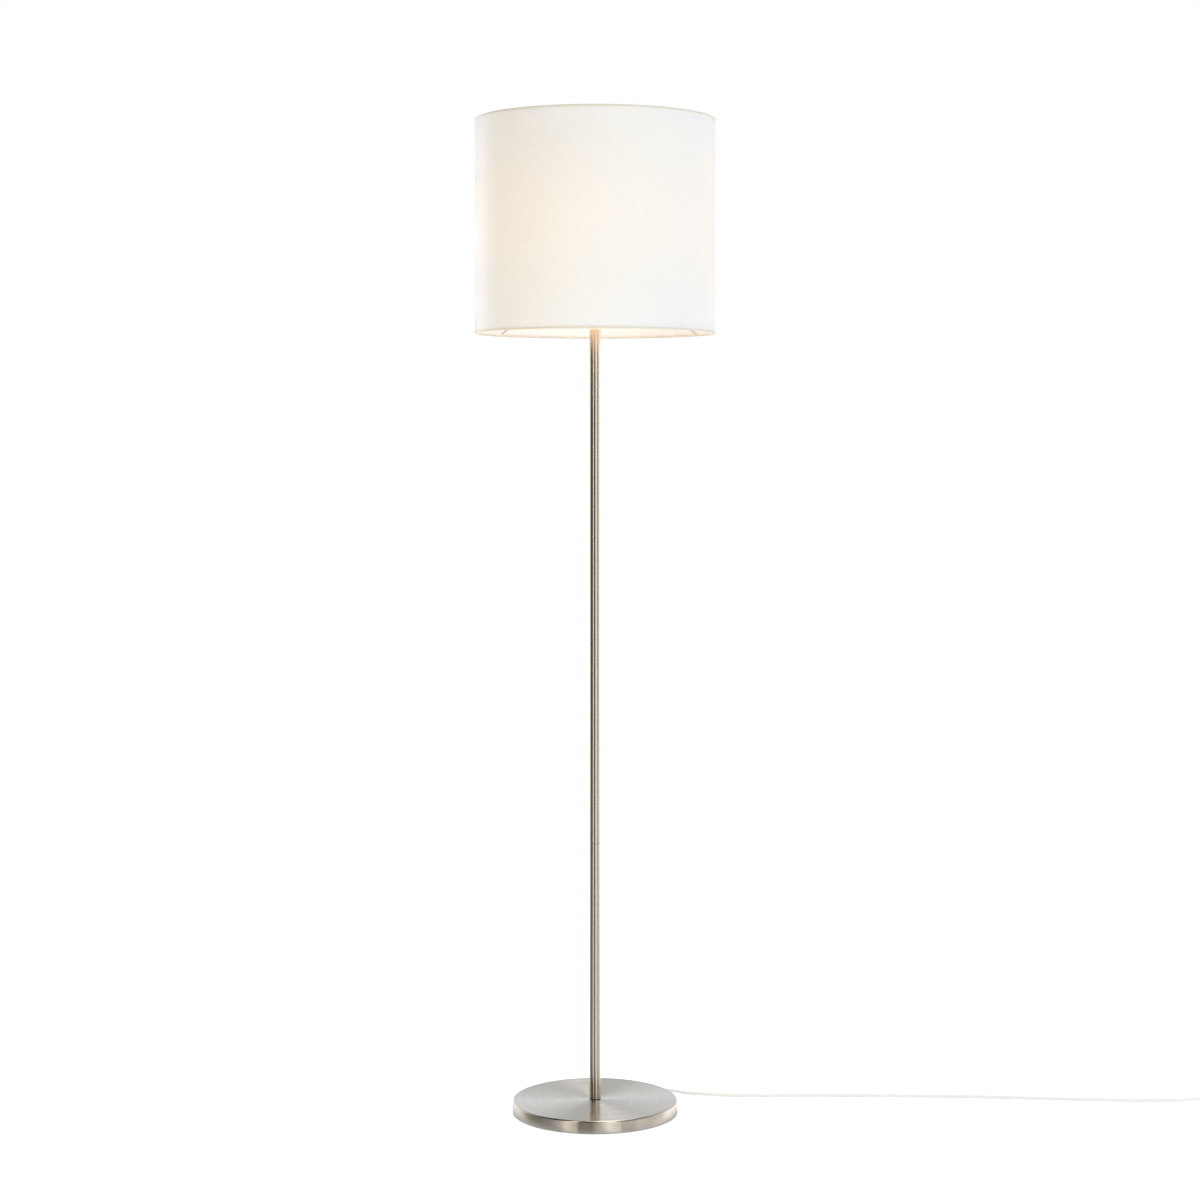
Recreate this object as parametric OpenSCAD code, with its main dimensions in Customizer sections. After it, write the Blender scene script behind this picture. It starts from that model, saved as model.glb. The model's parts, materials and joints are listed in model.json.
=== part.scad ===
// Column floor lamp: weighted round base, column of three tubes, textile drum shade and floor flex.
// Millimetres. The origin is on the floor under the column, with +Z up and +Y to the back.

/* [Base] */
// Diameter of the base
base_d = 274; // [220:2:340]
// Height of the base's top above the floor
base_h = 22; // [21:0.5:30]
// Sheet thickness of the base's steel cover
base_wall = 1.2; // [0.8:0.1:1.6]
// Radius of the cover's rounded top edge
base_edge_r = 2.5; // [1.5:0.5:4]
// Thickness of the soft pad that the lamp stands on
pad_thick = 1.6; // [1.4:0.1:2.2]
// Thickness of the closing plate
plate_thick = 1; // [0.8:0.1:1.2]
// Thickness of the cast-iron ring
weight_thick = 8.8; // [6:0.1:9]
// Opening in the middle of the cast-iron ring
weight_bore_d = 70; // [50:1:90]
// Circle that the three plate screws lie on
plate_screw_pcd = 180; // [150:2:200]
// Direction in which the flex leaves the base, from +X towards the back
exit_angle = 42; // [30:1:55]

/* [Column] */
// Length of each of the column's three parts, the lowest one measured with its gasket
tube_length = 425.5; // [300:0.5:500]
// Outside diameter of the tubes
tube_d = 19; // [18:0.5:25]
// Wall of the tubes
tube_wall = 1; // [0.8:0.1:1.2]
// Chamfer at the tubes' ends, which draws the hairline at each joint
tube_chamfer = 0.3; // [0.1:0.1:0.5]
// Thickness of the dark gasket under the lowest tube
gasket_thick = 1.2; // [0.8:0.1:3]
// Depth of the threaded inserts inside the tubes
insert_depth = 18; // [16:1:30]
// Thread diameter of the joints between the tubes
joint_thread_d = 12; // [11:0.5:14]
// Length of the threaded studs between the tubes
joint_stud_length = 15; // [10:1:16]
// Thread diameter of the hollow stud in the base and of the nipple under the lampholder
pipe_thread_d = 10; // [9.5:0.5:10.5]
// Diameter of the disc that closes the column
cap_d = 19; // [18:0.5:28]
// Thickness of that disc
cap_thick = 3; // [1:0.5:4]
// Diameter of the sleeve between the column and the lampholder
neck_d = 13; // [12.5:0.5:16]
// Length of that sleeve
neck_length = 42.5; // [20:0.5:80]

/* [Lampholder] */
// Outside diameter of the lampholder
holder_d = 40; // [39:0.5:44]
// Wall of its lower cap
holder_wall = 2; // [1.5:0.1:2.1]
// Height of its lower cap
holder_cap_h = 22; // [20:1:24]
// Height of the shoulder's top above the lampholder's foot
shoulder_rise = 36; // [35:0.5:45]
// Diameter of the shoulder that the shade sits on
shoulder_d = 47; // [45:0.5:50]
// Thickness of the shoulder
shoulder_thick = 3; // [2:0.5:4]
// Diameter of the outer thread that takes the shade's clamping ring
clamp_thread_d = 39.6; // [38:0.2:39.8]
// Length of that thread
clamp_thread_length = 22; // [20:0.5:22.5]
// Bore of the screw sleeve that holds the bulb
screw_bore_d = 26.5; // [26.5:0.1:27]
// Outside diameter of the clamping ring
clamp_ring_d = 50; // [46:1:51]
// Height of the clamping ring
clamp_ring_h = 8; // [6:0.5:10]

/* [Bulb] */
// Diameter of the bulb's globe
bulb_d = 60; // [50:1:70]
// Length of the bulb, from its foot contact to its top
bulb_length = 108; // [100:1:118]
// Length of the bulb's screw cap
bulb_cap_length = 27; // [26:0.5:28]
// Height of the opal part of the bulb
globe_height = 46; // [38:1:50]

/* [Shade] */
// Outside diameter of the shade
shade_d = 400; // [300:5:500]
// Height of the shade
shade_h = 356; // [220:1:400]
// Height of the carrier ring above the shade's lower edge
carrier_rise = 86; // [30:1:110]
// Thickness of the textile
fabric_thick = 0.6; // [0.4:0.1:1]
// Thickness of the plastic sheet behind it
liner_thick = 0.5; // [0.4:0.1:1]
// Diameter of the wire hoops at the two edges
hoop_wire_d = 2.5; // [2:0.1:4]
// Diameter of the three carrier wires
arm_wire_d = 2; // [1.6:0.1:3]
// Direction of the first carrier wire, from +X towards the back
arm_angle = 26.5; // [0:0.5:119.5]
// Diameter of the hole in the carrier ring
carrier_bore_d = 40.6; // [40.2:0.1:42]
// Outside diameter of the carrier ring
carrier_d = 52; // [51.5:0.5:60]
// Thickness of the carrier ring
carrier_thick = 2; // [1.5:0.1:3]
// Height of the folded strips at the shade's edges
hem_h = 3.2; // [3:0.2:8]
// Thickness of those strips
hem_thick = 0.4; // [0.3:0.1:0.8]
// Width of the overlap strip at the back
seam_width = 14; // [8:1:25]

/* [Flex] */
// Diameter of the flex
flex_d = 6; // [5.4:0.1:6.4]
// Length of the strain relief outside the base
boot_length = 20; // [16:1:30]
// Number of turns in the coil that is put away
coil_turns = 4.25; // [3.25:1:6.25]
// Mean radius of the coil's innermost turn
coil_inner_r = 27; // [24:1:40]
// Free gap between neighbouring turns of the coil
coil_gap = 0.6; // [0.5:0.1:1.5]
// Width of the coil's tie
tie_width = 8; // [5:1:12]
// Thickness of the coil's tie
tie_thick = 0.8; // [0.6:0.1:1.2]

/* [Foot switch] */
// Length of the foot switch
switch_length = 76; // [70:1:90]
// Width of the foot switch
switch_width = 30; // [28:1:40]
// Height of its lower half
switch_base_h = 9; // [8:0.5:12]
// Height of its upper half
switch_cover_h = 12; // [11:0.5:16]
// Wall of both halves
switch_wall = 2; // [1.6:0.1:2.4]
// Diameter of the button
button_d = 20; // [16:0.5:21]
// Travel of the button
button_travel = 3; // [2:0.1:3]
// Height of the pressed button above the cover
button_rest = 0.5; // [0.5:0.1:3]

/* [Plug] */
// Width of the plug
plug_width = 35; // [33:0.5:38]
// Thickness of the plug
plug_thick = 13.6; // [12:0.1:13.8]
// Length of the plug's body
plug_length = 35; // [30:1:42]
// Length of the plug's strain relief
plug_boot_length = 14; // [10:1:20]
// Diameter of the pins
pin_d = 4; // [3.8:0.1:4.2]
// Free length of the pins
pin_length = 19; // [17:0.5:20]
// Distance between the pins' centres
pin_spacing = 18.6; // [17:0.1:19]

/* [Hidden] */
$fn = 96;

// Clearances: between pieces screwed or pushed together, between pieces that turn in each
// other, between pieces that move past each other, and where a piece lies loosely.
fit = 0.05;
turn_fit = 0.08;
seat = 0.3;

// Heights of the base
base_r = base_d / 2;
top_under = base_h - base_wall;
weight_under = top_under - weight_thick;
plate_top = pad_thick + plate_thick;
shell_foot = 1;
washer_thick = 1.5;
washer_d = 40;
nut_h = 3;
nut_flats = 14;
stud_proud = 0.5;
stud_foot = top_under - washer_thick - nut_h - stud_proud;
clamp_floor = 1.1;
cable_h = plate_top + seat + clamp_floor + flex_d / 2;
weight_r = base_r - base_wall - seat;
plate_r = weight_r - 2.5;
boss_d = 12;
screw_d = 4;
screw_head_d = 8;
screw_head_h = 1.2;
screw_grip = 6;

// Clamp and strain relief of the flex
clamp_place = base_r - 27;
clamp_width = 26;
clamp_depth = 10;
clamp_screw_offset = 9;
clamp_screw_d = 3;
clamp_head_d = 5.4;
clamp_head_h = 1.6;
boot_neck_d = flex_d + 3;
boot_flange_d = flex_d + 5;
boot_flange_thick = 1.5;
boot_tip_d = flex_d + 2;
wall_sag = pow(boot_flange_d, 2) / 8 / (base_r - base_wall);
exit_reach = base_r + boot_length;
exit_dir = [cos(exit_angle), sin(exit_angle), 0];

// Heights of the column and of what it carries
tube_r = tube_d / 2;
tube_bore_r = tube_r - tube_wall;
cable_bore_r = flex_d / 2 + 0.8;
column_top = base_h + 3 * tube_length;
cap_top = column_top + cap_thick;
holder_foot = cap_top + neck_length;
shoulder_top = holder_foot + shoulder_rise;
shade_foot = shoulder_top - carrier_rise;
shade_top = shade_foot + shade_h;
carrier_foot = shoulder_top + seat;
clamp_ring_foot = carrier_foot + carrier_thick + seat;
nipple_grip = 9;
cable_top = holder_foot + nipple_grip + 2;

// Radii and heights inside the lampholder
holder_r = holder_d / 2;
skirt_r = holder_r - holder_wall - seat;
skirt_h = 4;
sleeve_r = screw_bore_d / 2;
sleeve_wall = 0.4;
core_r = 15.5;
core_h = 11;
core_top = shoulder_top - 6;
sleeve_top = shoulder_top + clamp_thread_length - 2;
contact_r = 3.5;
contact_top = core_top + 3.4;
terminal_offset = 9;
terminal_d = 4;
terminal_face = sqrt(pow(core_r, 2) - pow(terminal_offset + terminal_d / 2, 2));
terminal_end = 3;
core_wire_d = 2.4;
core_wire_offset = 1.6;
core_wire_gap = 3;

// Places along the bulb
bulb_foot = contact_top + seat;
bulb_cap_r = sleeve_r - turn_fit;
globe_foot = bulb_length - globe_height;
globe_centre = bulb_length - bulb_d / 2;
globe_foot_r = sqrt(pow(bulb_d / 2, 2) - pow(globe_centre - globe_foot, 2));
globe_wall = 1.2;

// Radii of the shade, from its skin inwards
shade_r = shade_d / 2;
fabric_r = shade_r - hem_thick;
liner_r = fabric_r - fabric_thick;
liner_bore_r = liner_r - liner_thick;
hoop_gap = 0.1;
hoop_r = liner_bore_r - hoop_gap - hoop_wire_d / 2;
hoop_lift = hem_thick + hoop_gap + hoop_wire_d / 2;
weld = 0.3;

// Route of the flex: from the strain relief to the foot switch, along the floor
flex_r = flex_d / 2;
exit_point = exit_reach * exit_dir + [0, 0, cable_h];
switch_place = [1093, 60];
switch_port = switch_length / 2 + 8;
run_end = [switch_place.x - switch_port, switch_place.y, 7];
run_route = [
    exit_point, exit_point + flex_d * exit_dir,
    [131, 112, 6.2], [143, 110.5, 4.6], [157, 107.5, 3.5], [172, 104, 3.2],
    [197, 98, 3.2], [222, 92.5, 3.2], [251, 89, 3.2], [278, 88.5, 3.2],
    [306, 89.5, 3.2], [336, 91, 3.2], [368, 92, 3.2], [401, 92, 3.2],
    [435, 91, 3.2], [469, 89.5, 3.2], [503, 88.5, 3.2], [540, 87.5, 3.2],
    [577, 86, 3.2], [618, 84, 3.2], [658, 81.5, 3.2], [698, 78, 3.2],
    [738, 74, 3.2], [780, 69.5, 3.2], [822, 65.5, 3.2], [864, 62.5, 3.2],
    [906, 60.5, 3.2], [948, 60, 3.2], [985, 60, 3.6], [1012, 60, 5],
    [1028, 60, 6.4], run_end - [flex_d, 0, 0], run_end
];

// Route between the switch, the coil and the plug
coil_pitch = flex_d + coil_gap;
coil_sweep = 360 * coil_turns;
coil_outer_r = coil_inner_r + coil_pitch * coil_turns / 2;
coil_low = tie_thick + seat + flex_r;
coil_high = coil_low + coil_pitch;
coil_centre = [1180, switch_place.y - coil_outer_r];
coil_lead = flex_d;
link_start = [switch_place.x + switch_port, switch_place.y, run_end.z];
link_end = [coil_centre.x - coil_lead, switch_place.y, coil_low];
link_route = [
    link_start, link_start + [flex_d, 0, 0], (link_start + link_end) / 2,
    link_end - [flex_d, 0, 0], link_end
];
tail_x = coil_centre.x + coil_outer_r;
tail_start = [tail_x, coil_centre.y - coil_lead, coil_high];
plug_h = plug_thick / 2 + 0.2;
tail_end = [tail_x, tail_start.y - 47, plug_h];
tail_route = [
    tail_start, tail_start - [0, flex_d, 0],
    tail_start - [0, 17, 0.7], [tail_x, tail_start.y - 29, plug_h + 1],
    tail_end + [0, flex_d, 0], tail_end
];

// Tube sweeping: a smooth line through a route's points, and rings of points square to it
route_sides = 8;
route_steps = 2;
coil_sides = 6;
coil_rings = 24;

function blend_points(a, b, c, d, t) =
    0.5 * (2 * b + (c - a) * t + (2 * a - 5 * b + 4 * c - d) * t * t
        + (3 * b - a - 3 * c + d) * t * t * t);
// The first and the last stretch of a route stay straight
function smooth_line(p) = [
    p[0],
    for (i = [1 : len(p) - 3], s = [0 : route_steps - 1])
        blend_points(p[i - 1], p[i], p[i + 1], p[i + 2], s / route_steps),
    p[len(p) - 2], p[len(p) - 1]
];
function unit(v) = v / norm(v);
function heading(p, i) = unit(p[min(i + 1, len(p) - 1)] - p[max(i - 1, 0)]);
function level_side(along) = unit(cross(along, [0, 0, 1]));
function ring_points(centre, along, side, r, sides) =
    let (up = cross(side, along))
    [for (k = [0 : sides - 1]) centre + r * (cos(360 * k / sides) * side + sin(360 * k / sides) * up)];
function line_length(p) = len(p) < 2 ? 0 :
    [for (i = 0, sum = 0; i < len(p); sum = sum + (i + 1 < len(p) ? norm(p[i + 1] - p[i]) : 0), i = i + 1)
        sum][len(p) - 1];

// Centre line of the coil: it spirals in along the floor, climbs a layer in the half turn
// where the spiral reverses, and spirals out again on top.
function coil_radius(t) = coil_inner_r + coil_pitch * abs(t - coil_sweep / 2) / 360;
function coil_height(t) =
    coil_low + coil_pitch * min(max((t - coil_sweep / 2) / 180 + 0.5, 0), 1);
function coil_point(t) = [
    coil_centre.x + coil_radius(t) * sin(t),
    coil_centre.y + coil_radius(t) * cos(t),
    coil_height(t)
];
coil_step = 360 / coil_rings;
coil_turn_points = [for (i = [0 : coil_sweep / coil_step]) coil_point(i * coil_step)];
coil_line = concat([link_end], coil_turn_points, [tail_start]);
coil_least_gap = min([
    for (i = [0 : len(coil_turn_points) - 1], j = [i + coil_rings / 2 : 1 : len(coil_turn_points) - 1])
        norm(coil_turn_points[i] - coil_turn_points[j])
]) - flex_d;
echo("least gap between the coil's turns", coil_least_gap);
echo("flex outside the base", line_length(smooth_line(run_route)),
    line_length(smooth_line(link_route)) + line_length(coil_line) + line_length(smooth_line(tail_route)));

// Each ring's first axis lies level, or along the fixed direction given for an upright line
module swept_tube(line, r, sides, fixed_side) {
    rings = len(line);
    headings = [for (i = [0 : rings - 1]) heading(line, i)];
    wall = [
        for (i = [0 : rings - 2], k = [0 : sides - 1], half = [0, 1])
            let (a = i * sides + k, b = i * sides + (k + 1) % sides)
            half == 0 ? [a, b, b + sides] : [a, b + sides, a + sides]
    ];
    first = [for (k = [1 : sides - 2]) [0, k + 1, k]];
    last = [for (k = [1 : sides - 2]) (rings - 1) * sides * [1, 1, 1] + [0, k, k + 1]];
    polyhedron(
        points = [
            for (i = [0 : rings - 1])
                let (side = is_undef(fixed_side) ? level_side(headings[i]) : fixed_side)
                each ring_points(line[i], headings[i], side, r, sides)
        ],
        faces = concat(first, wall, last)
    );
}

// A ring or tube between two radii, from height low to height high
module sleeve(outer_r, inner_r, low, high) {
    translate([0, 0, low])
        difference() {
            cylinder(r = outer_r, h = high - low);
            translate([0, 0, -1]) cylinder(r = inner_r, h = high - low + 2);
        }
}

// A wire hoop at the shade's edge
module hoop(height) {
    translate([0, 0, height])
        rotate_extrude() translate([hoop_r, 0]) circle(d = hoop_wire_d, $fn = 32);
}

// A stadium-shaped block, long side along X
module stadium(length, width, low, high) {
    translate([0, 0, low])
        linear_extrude(high - low) {
            square([length - width, width], center = true);
            for (s = [-1, 1]) translate([s * (length - width) / 2, 0]) circle(d = width);
        }
}

/* ---- Base ---- */

module base_profile(r, top, edge_r, foot) {
    translate([0, foot]) square([r, top - edge_r - foot]);
    square_top = top - edge_r;
    translate([0, square_top]) square([r - edge_r, edge_r]);
    translate([r - edge_r, square_top]) intersection() {
        circle(r = edge_r, $fn = 64);
        square(edge_r);
    }
}

module base_shell() {
    inner_edge_r = max(base_edge_r - base_wall, 0.4);
    color([0.72, 0.70, 0.67])
        difference() {
            rotate_extrude() base_profile(base_r, base_h, base_edge_r, shell_foot);
            rotate_extrude() base_profile(base_r - base_wall, top_under, inner_edge_r, 0);
            cylinder(d = pipe_thread_d + 2 * seat, h = base_h + 1);
            rotate([0, 0, exit_angle]) translate([base_r - 2 * base_wall, 0, cable_h])
                rotate([0, 90, 0]) cylinder(d = boot_neck_d + 2 * fit, h = 4 * base_wall);
        }
}

module at_plate_screws() {
    for (k = [0 : 2])
        rotate([0, 0, exit_angle + 60 + 120 * k]) translate([plate_screw_pcd / 2, 0, 0]) children();
}

module at_clamp_screws() {
    rotate([0, 0, exit_angle])
        for (s = [-1, 1]) translate([clamp_place, s * clamp_screw_offset, 0]) children();
}

module base_weight() {
    screw_hole_top = min(plate_top + screw_grip + 1, top_under - 1);
    color([0.22, 0.22, 0.23])
        difference() {
            union() {
                sleeve(weight_r - base_edge_r, weight_bore_d / 2, weight_under, top_under);
                at_plate_screws() translate([0, 0, plate_top])
                    cylinder(d = boss_d, h = weight_under - plate_top + 1);
            }
            at_plate_screws() translate([0, 0, plate_top - 1])
                cylinder(d = screw_d + 2 * fit, h = screw_hole_top - plate_top + 1);
            at_clamp_screws() translate([0, 0, weight_under - 1])
                cylinder(d = clamp_screw_d + 2 * fit, h = 6);
        }
}

module bottom_plate() {
    color([0.35, 0.35, 0.36])
        difference() {
            translate([0, 0, pad_thick]) cylinder(r = plate_r, h = plate_thick);
            at_plate_screws() cylinder(d = screw_d + 2 * seat, h = plate_top + 1);
        }
}

module floor_pad() {
    color([0.12, 0.12, 0.12])
        difference() {
            cylinder(r = plate_r - 1, h = pad_thick);
            at_plate_screws() translate([0, 0, -1])
                cylinder(d = screw_head_d + 2, h = pad_thick + 2);
        }
}

module bottom_screws() {
    color([0.6, 0.6, 0.62])
        at_plate_screws() {
            translate([0, 0, pad_thick - screw_head_h]) cylinder(d = screw_head_d, h = screw_head_h);
            translate([0, 0, pad_thick - 0.1]) cylinder(d = screw_d, h = plate_thick + screw_grip);
        }
}

module base_stud() {
    color([0.75, 0.62, 0.3])
        sleeve(pipe_thread_d / 2, cable_bore_r, stud_foot, base_h + insert_depth - 2);
}

module stud_washer() {
    color([0.65, 0.65, 0.66])
        sleeve(washer_d / 2, pipe_thread_d / 2 + fit, top_under - washer_thick, top_under);
}

module stud_nut() {
    color([0.65, 0.65, 0.66])
        translate([0, 0, top_under - washer_thick - nut_h])
            difference() {
                cylinder(d = nut_flats / cos(30), h = nut_h, $fn = 6);
                translate([0, 0, -1]) cylinder(r = pipe_thread_d / 2 + fit, h = nut_h + 2);
            }
}

module cord_clamp() {
    color([0.9, 0.9, 0.88])
        difference() {
            rotate([0, 0, exit_angle])
                translate([clamp_place - clamp_depth / 2, -clamp_width / 2, plate_top + seat])
                    cube([clamp_depth, clamp_width, weight_under - plate_top - seat]);
            rotate([0, 0, exit_angle]) translate([clamp_place - clamp_depth, 0, cable_h])
                rotate([0, 90, 0]) cylinder(d = flex_d + 2 * fit, h = 2 * clamp_depth);
            at_clamp_screws() cylinder(d = clamp_screw_d + 2 * fit, h = base_h);
            at_clamp_screws() cylinder(d = clamp_head_d + 2 * fit, h = plate_top + seat + clamp_head_h);
        }
}

module clamp_screws() {
    head_foot = plate_top + seat;
    color([0.6, 0.6, 0.62])
        at_clamp_screws() {
            translate([0, 0, head_foot]) cylinder(d = clamp_head_d, h = clamp_head_h);
            translate([0, 0, head_foot]) cylinder(d = clamp_screw_d, h = weight_under - head_foot + 4);
        }
}

module cord_grommet() {
    color([0.93, 0.93, 0.91])
        rotate([0, 0, exit_angle]) translate([0, 0, cable_h]) rotate([0, 90, 0])
            difference() {
                union() {
                    translate([0, 0, base_r - base_wall - wall_sag - boot_flange_thick - fit])
                        cylinder(d = boot_flange_d, h = boot_flange_thick);
                    translate([0, 0, base_r - base_wall - 1]) cylinder(d = boot_neck_d, h = 2 * base_wall + 1);
                    translate([0, 0, base_r + fit]) cylinder(d = boot_flange_d, h = boot_flange_thick);
                    translate([0, 0, base_r + boot_flange_thick])
                        cylinder(d1 = boot_neck_d, d2 = boot_tip_d, h = boot_length - boot_flange_thick);
                }
                translate([0, 0, base_r - 20]) cylinder(d = flex_d + 2 * fit, h = boot_length + 30);
            }
}

/* ---- Column ---- */

module column_tube(index, lift = 0) {
    low = base_h + index * tube_length + lift;
    high = base_h + (index + 1) * tube_length;
    color([0.74, 0.72, 0.69])
        rotate_extrude()
            polygon([
                [tube_bore_r, low], [tube_r - tube_chamfer, low], [tube_r, low + tube_chamfer],
                [tube_r, high - tube_chamfer], [tube_r - tube_chamfer, high], [tube_bore_r, high]
            ]);
}

module plug_insert(low, bore_r) {
    color([0.75, 0.62, 0.3])
        sleeve(tube_bore_r - fit, bore_r, low, low + insert_depth);
}

module joint_stud(index) {
    seam = base_h + index * tube_length;
    color([0.75, 0.62, 0.3])
        difference() {
            union() {
                translate([0, 0, seam]) cylinder(r = tube_bore_r - fit, h = insert_depth);
                translate([0, 0, seam - joint_stud_length])
                    cylinder(d = joint_thread_d, h = joint_stud_length + 1);
            }
            translate([0, 0, seam - joint_stud_length - 1])
                cylinder(r = cable_bore_r, h = joint_stud_length + insert_depth + 2);
        }
}

module joint_socket(index) {
    plug_insert(base_h + index * tube_length - insert_depth, joint_thread_d / 2 + fit);
}

module foot_insert() plug_insert(base_h, pipe_thread_d / 2 + fit);

module foot_gasket() {
    color([0.08, 0.08, 0.08])
        sleeve(tube_r - tube_chamfer, tube_bore_r, base_h, base_h + gasket_thick);
}

module lower_tube() column_tube(0, gasket_thick);
module lower_socket() joint_socket(1);
module middle_stud() joint_stud(1);
module middle_tube() column_tube(1);
module middle_socket() joint_socket(2);
module upper_stud() joint_stud(2);
module upper_tube() column_tube(2);
module top_insert() plug_insert(column_top - insert_depth, pipe_thread_d / 2 + fit);

module column_cap() {
    edge = 0.4;
    color([0.74, 0.72, 0.69])
        rotate_extrude()
            polygon([
                [pipe_thread_d / 2 + seat, column_top], [cap_d / 2, column_top],
                [cap_d / 2, cap_top - edge], [cap_d / 2 - edge, cap_top],
                [pipe_thread_d / 2 + seat, cap_top]
            ]);
}

module neck_nipple() {
    color([0.75, 0.62, 0.3])
        sleeve(pipe_thread_d / 2, cable_bore_r, column_top - insert_depth + 2, holder_foot + nipple_grip);
}

module neck_sleeve() {
    color([0.9, 0.9, 0.89]) sleeve(neck_d / 2, pipe_thread_d / 2 + seat, cap_top, holder_foot);
}

// The flex inside the lamp: down the column, round an elbow in the base and out through the wall
module column_cable() {
    elbow_r = stud_foot - cable_h;
    elbow_steps = 8;
    cable_sides = 16;
    elbow = [
        for (k = [0 : elbow_steps])
            let (a = 90 * k / elbow_steps)
            elbow_r * (1 - cos(a)) * exit_dir + [0, 0, stud_foot - elbow_r * sin(a)]
    ];
    color([0.93, 0.93, 0.91])
        swept_tube(concat([[0, 0, cable_top]], elbow, [exit_point]), flex_r, cable_sides,
            [-exit_dir.y, exit_dir.x, 0]);
}

/* ---- Lampholder ---- */

module holder_cap() {
    low = holder_foot;
    high = low + holder_cap_h;
    bore_r = holder_r - holder_wall;
    boss_r = pipe_thread_d / 2 + 2.5;
    thread_r = pipe_thread_d / 2 + fit;
    round_r = 4;
    color([0.93, 0.93, 0.92])
        rotate_extrude()
            polygon([
                [thread_r, low], [holder_r - round_r, low], [holder_r - 1.2, low + 1.2],
                [holder_r, low + round_r], [holder_r, high], [bore_r, high],
                [bore_r, low + round_r + 0.6], [bore_r - round_r, low + holder_wall],
                [boss_r, low + holder_wall], [boss_r, low + nipple_grip], [thread_r, low + nipple_grip]
            ]);
}

module holder_body() {
    low = holder_foot + holder_cap_h;
    skirt_bore_r = core_r + seat;
    sleeve_seat_r = sleeve_r + sleeve_wall + seat;
    color([0.93, 0.93, 0.92])
        rotate_extrude()
            polygon([
                [skirt_bore_r, low - skirt_h], [skirt_r, low - skirt_h], [skirt_r, low],
                [holder_r, low], [holder_r, shoulder_top - shoulder_thick],
                [shoulder_d / 2, shoulder_top - shoulder_thick], [shoulder_d / 2, shoulder_top],
                [clamp_thread_d / 2, shoulder_top],
                [clamp_thread_d / 2, shoulder_top + clamp_thread_length],
                [sleeve_seat_r, shoulder_top + clamp_thread_length],
                [sleeve_seat_r, core_top], [skirt_bore_r, core_top]
            ]);
}

module holder_core() {
    color([0.96, 0.95, 0.92])
        difference() {
            translate([0, 0, core_top - core_h]) cylinder(r = core_r, h = core_h);
            for (s = [-1, 1]) {
                translate([s * terminal_offset, 0, core_top - core_h - 1])
                    cylinder(d = core_wire_d + 2 * fit, h = core_h - 2);
                translate([s * terminal_offset, -core_r - 1, core_top - core_h / 2])
                    rotate([-90, 0, 0]) cylinder(d = terminal_d + 2 * fit, h = core_r + 1 - terminal_end);
            }
        }
}

module screw_sleeve() {
    color([0.8, 0.68, 0.36]) {
        sleeve(sleeve_r + sleeve_wall, sleeve_r, core_top, sleeve_top);
        sleeve(sleeve_r + sleeve_wall, contact_r + 3, core_top, core_top + 0.6);
    }
}

module holder_contacts() {
    color([0.8, 0.68, 0.36])
        translate([0, 0, core_top]) {
            cylinder(r = contact_r, h = 1);
            cylinder(r1 = contact_r, r2 = contact_r / 2, h = contact_top - core_top);
        }
}

module terminal_screws() {
    color([0.6, 0.6, 0.62])
        for (s = [-1, 1])
            translate([s * terminal_offset, -terminal_face, core_top - core_h / 2])
                rotate([-90, 0, 0]) cylinder(d = terminal_d, h = terminal_face - terminal_end - fit);
}

module lead_wires() {
    for (s = [-1, 1]) {
        wire_foot = [s * core_wire_offset, 0, cable_top];
        wire_bend = [s * terminal_offset, 0, core_top - core_h - core_wire_gap + 1];
        run = wire_bend - wire_foot;
        color(s < 0 ? [0.1, 0.25, 0.6] : [0.4, 0.22, 0.12]) {
            translate(wire_foot) cylinder(d = core_wire_d, h = 1.2);
            translate(wire_foot + [0, 0, 1]) rotate([0, atan2(run.x, run.z), 0])
                cylinder(d = core_wire_d, h = norm(run));
            translate(wire_bend + [0, 0, 1]) sphere(d = core_wire_d);
            translate(wire_bend + [0, 0, 1]) cylinder(d = core_wire_d, h = core_wire_gap + 2);
        }
    }
}

module shade_ring() {
    flange_h = 3;
    bore_r = clamp_thread_d / 2 + turn_fit;
    rim_r = clamp_ring_d / 2;
    color([0.93, 0.93, 0.92])
        rotate_extrude()
            polygon([
                [bore_r, clamp_ring_foot], [rim_r, clamp_ring_foot],
                [rim_r, clamp_ring_foot + flange_h], [rim_r - 1.8, clamp_ring_foot + flange_h],
                [rim_r - 1.8, clamp_ring_foot + clamp_ring_h], [bore_r, clamp_ring_foot + clamp_ring_h]
            ]);
}

/* ---- Bulb: heights count from its foot contact ---- */

tip_h = 5;
tip_contact_r = 4.8;
tip_r = 9.8;
cap_sheet = 0.4;
cap_rim_r = bulb_cap_r + 0.4;
cap_rim_h = 3;

module bulb_tip() {
    color([0.15, 0.15, 0.15])
        translate([0, 0, bulb_foot])
            rotate_extrude()
                polygon([
                    [0, 0], [tip_contact_r, 0], [tip_contact_r, 1.4], [tip_r, tip_h], [0, tip_h]
                ]);
}

module bulb_cap() {
    rim_foot = bulb_cap_length - cap_rim_h;
    color([0.78, 0.78, 0.78])
        translate([0, 0, bulb_foot])
            rotate_extrude()
                polygon([
                    [0, tip_h], [tip_r, tip_h], [bulb_cap_r, tip_h + 2.5], [bulb_cap_r, rim_foot],
                    [cap_rim_r, rim_foot + 0.5], [cap_rim_r, bulb_cap_length],
                    [cap_rim_r - cap_sheet, bulb_cap_length],
                    [cap_rim_r - cap_sheet, rim_foot + 0.7], [bulb_cap_r - cap_sheet, rim_foot + 0.2],
                    [bulb_cap_r - cap_sheet, tip_h + 2.7], [tip_r, tip_h + cap_sheet],
                    [0, tip_h + cap_sheet]
                ]);
}

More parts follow.
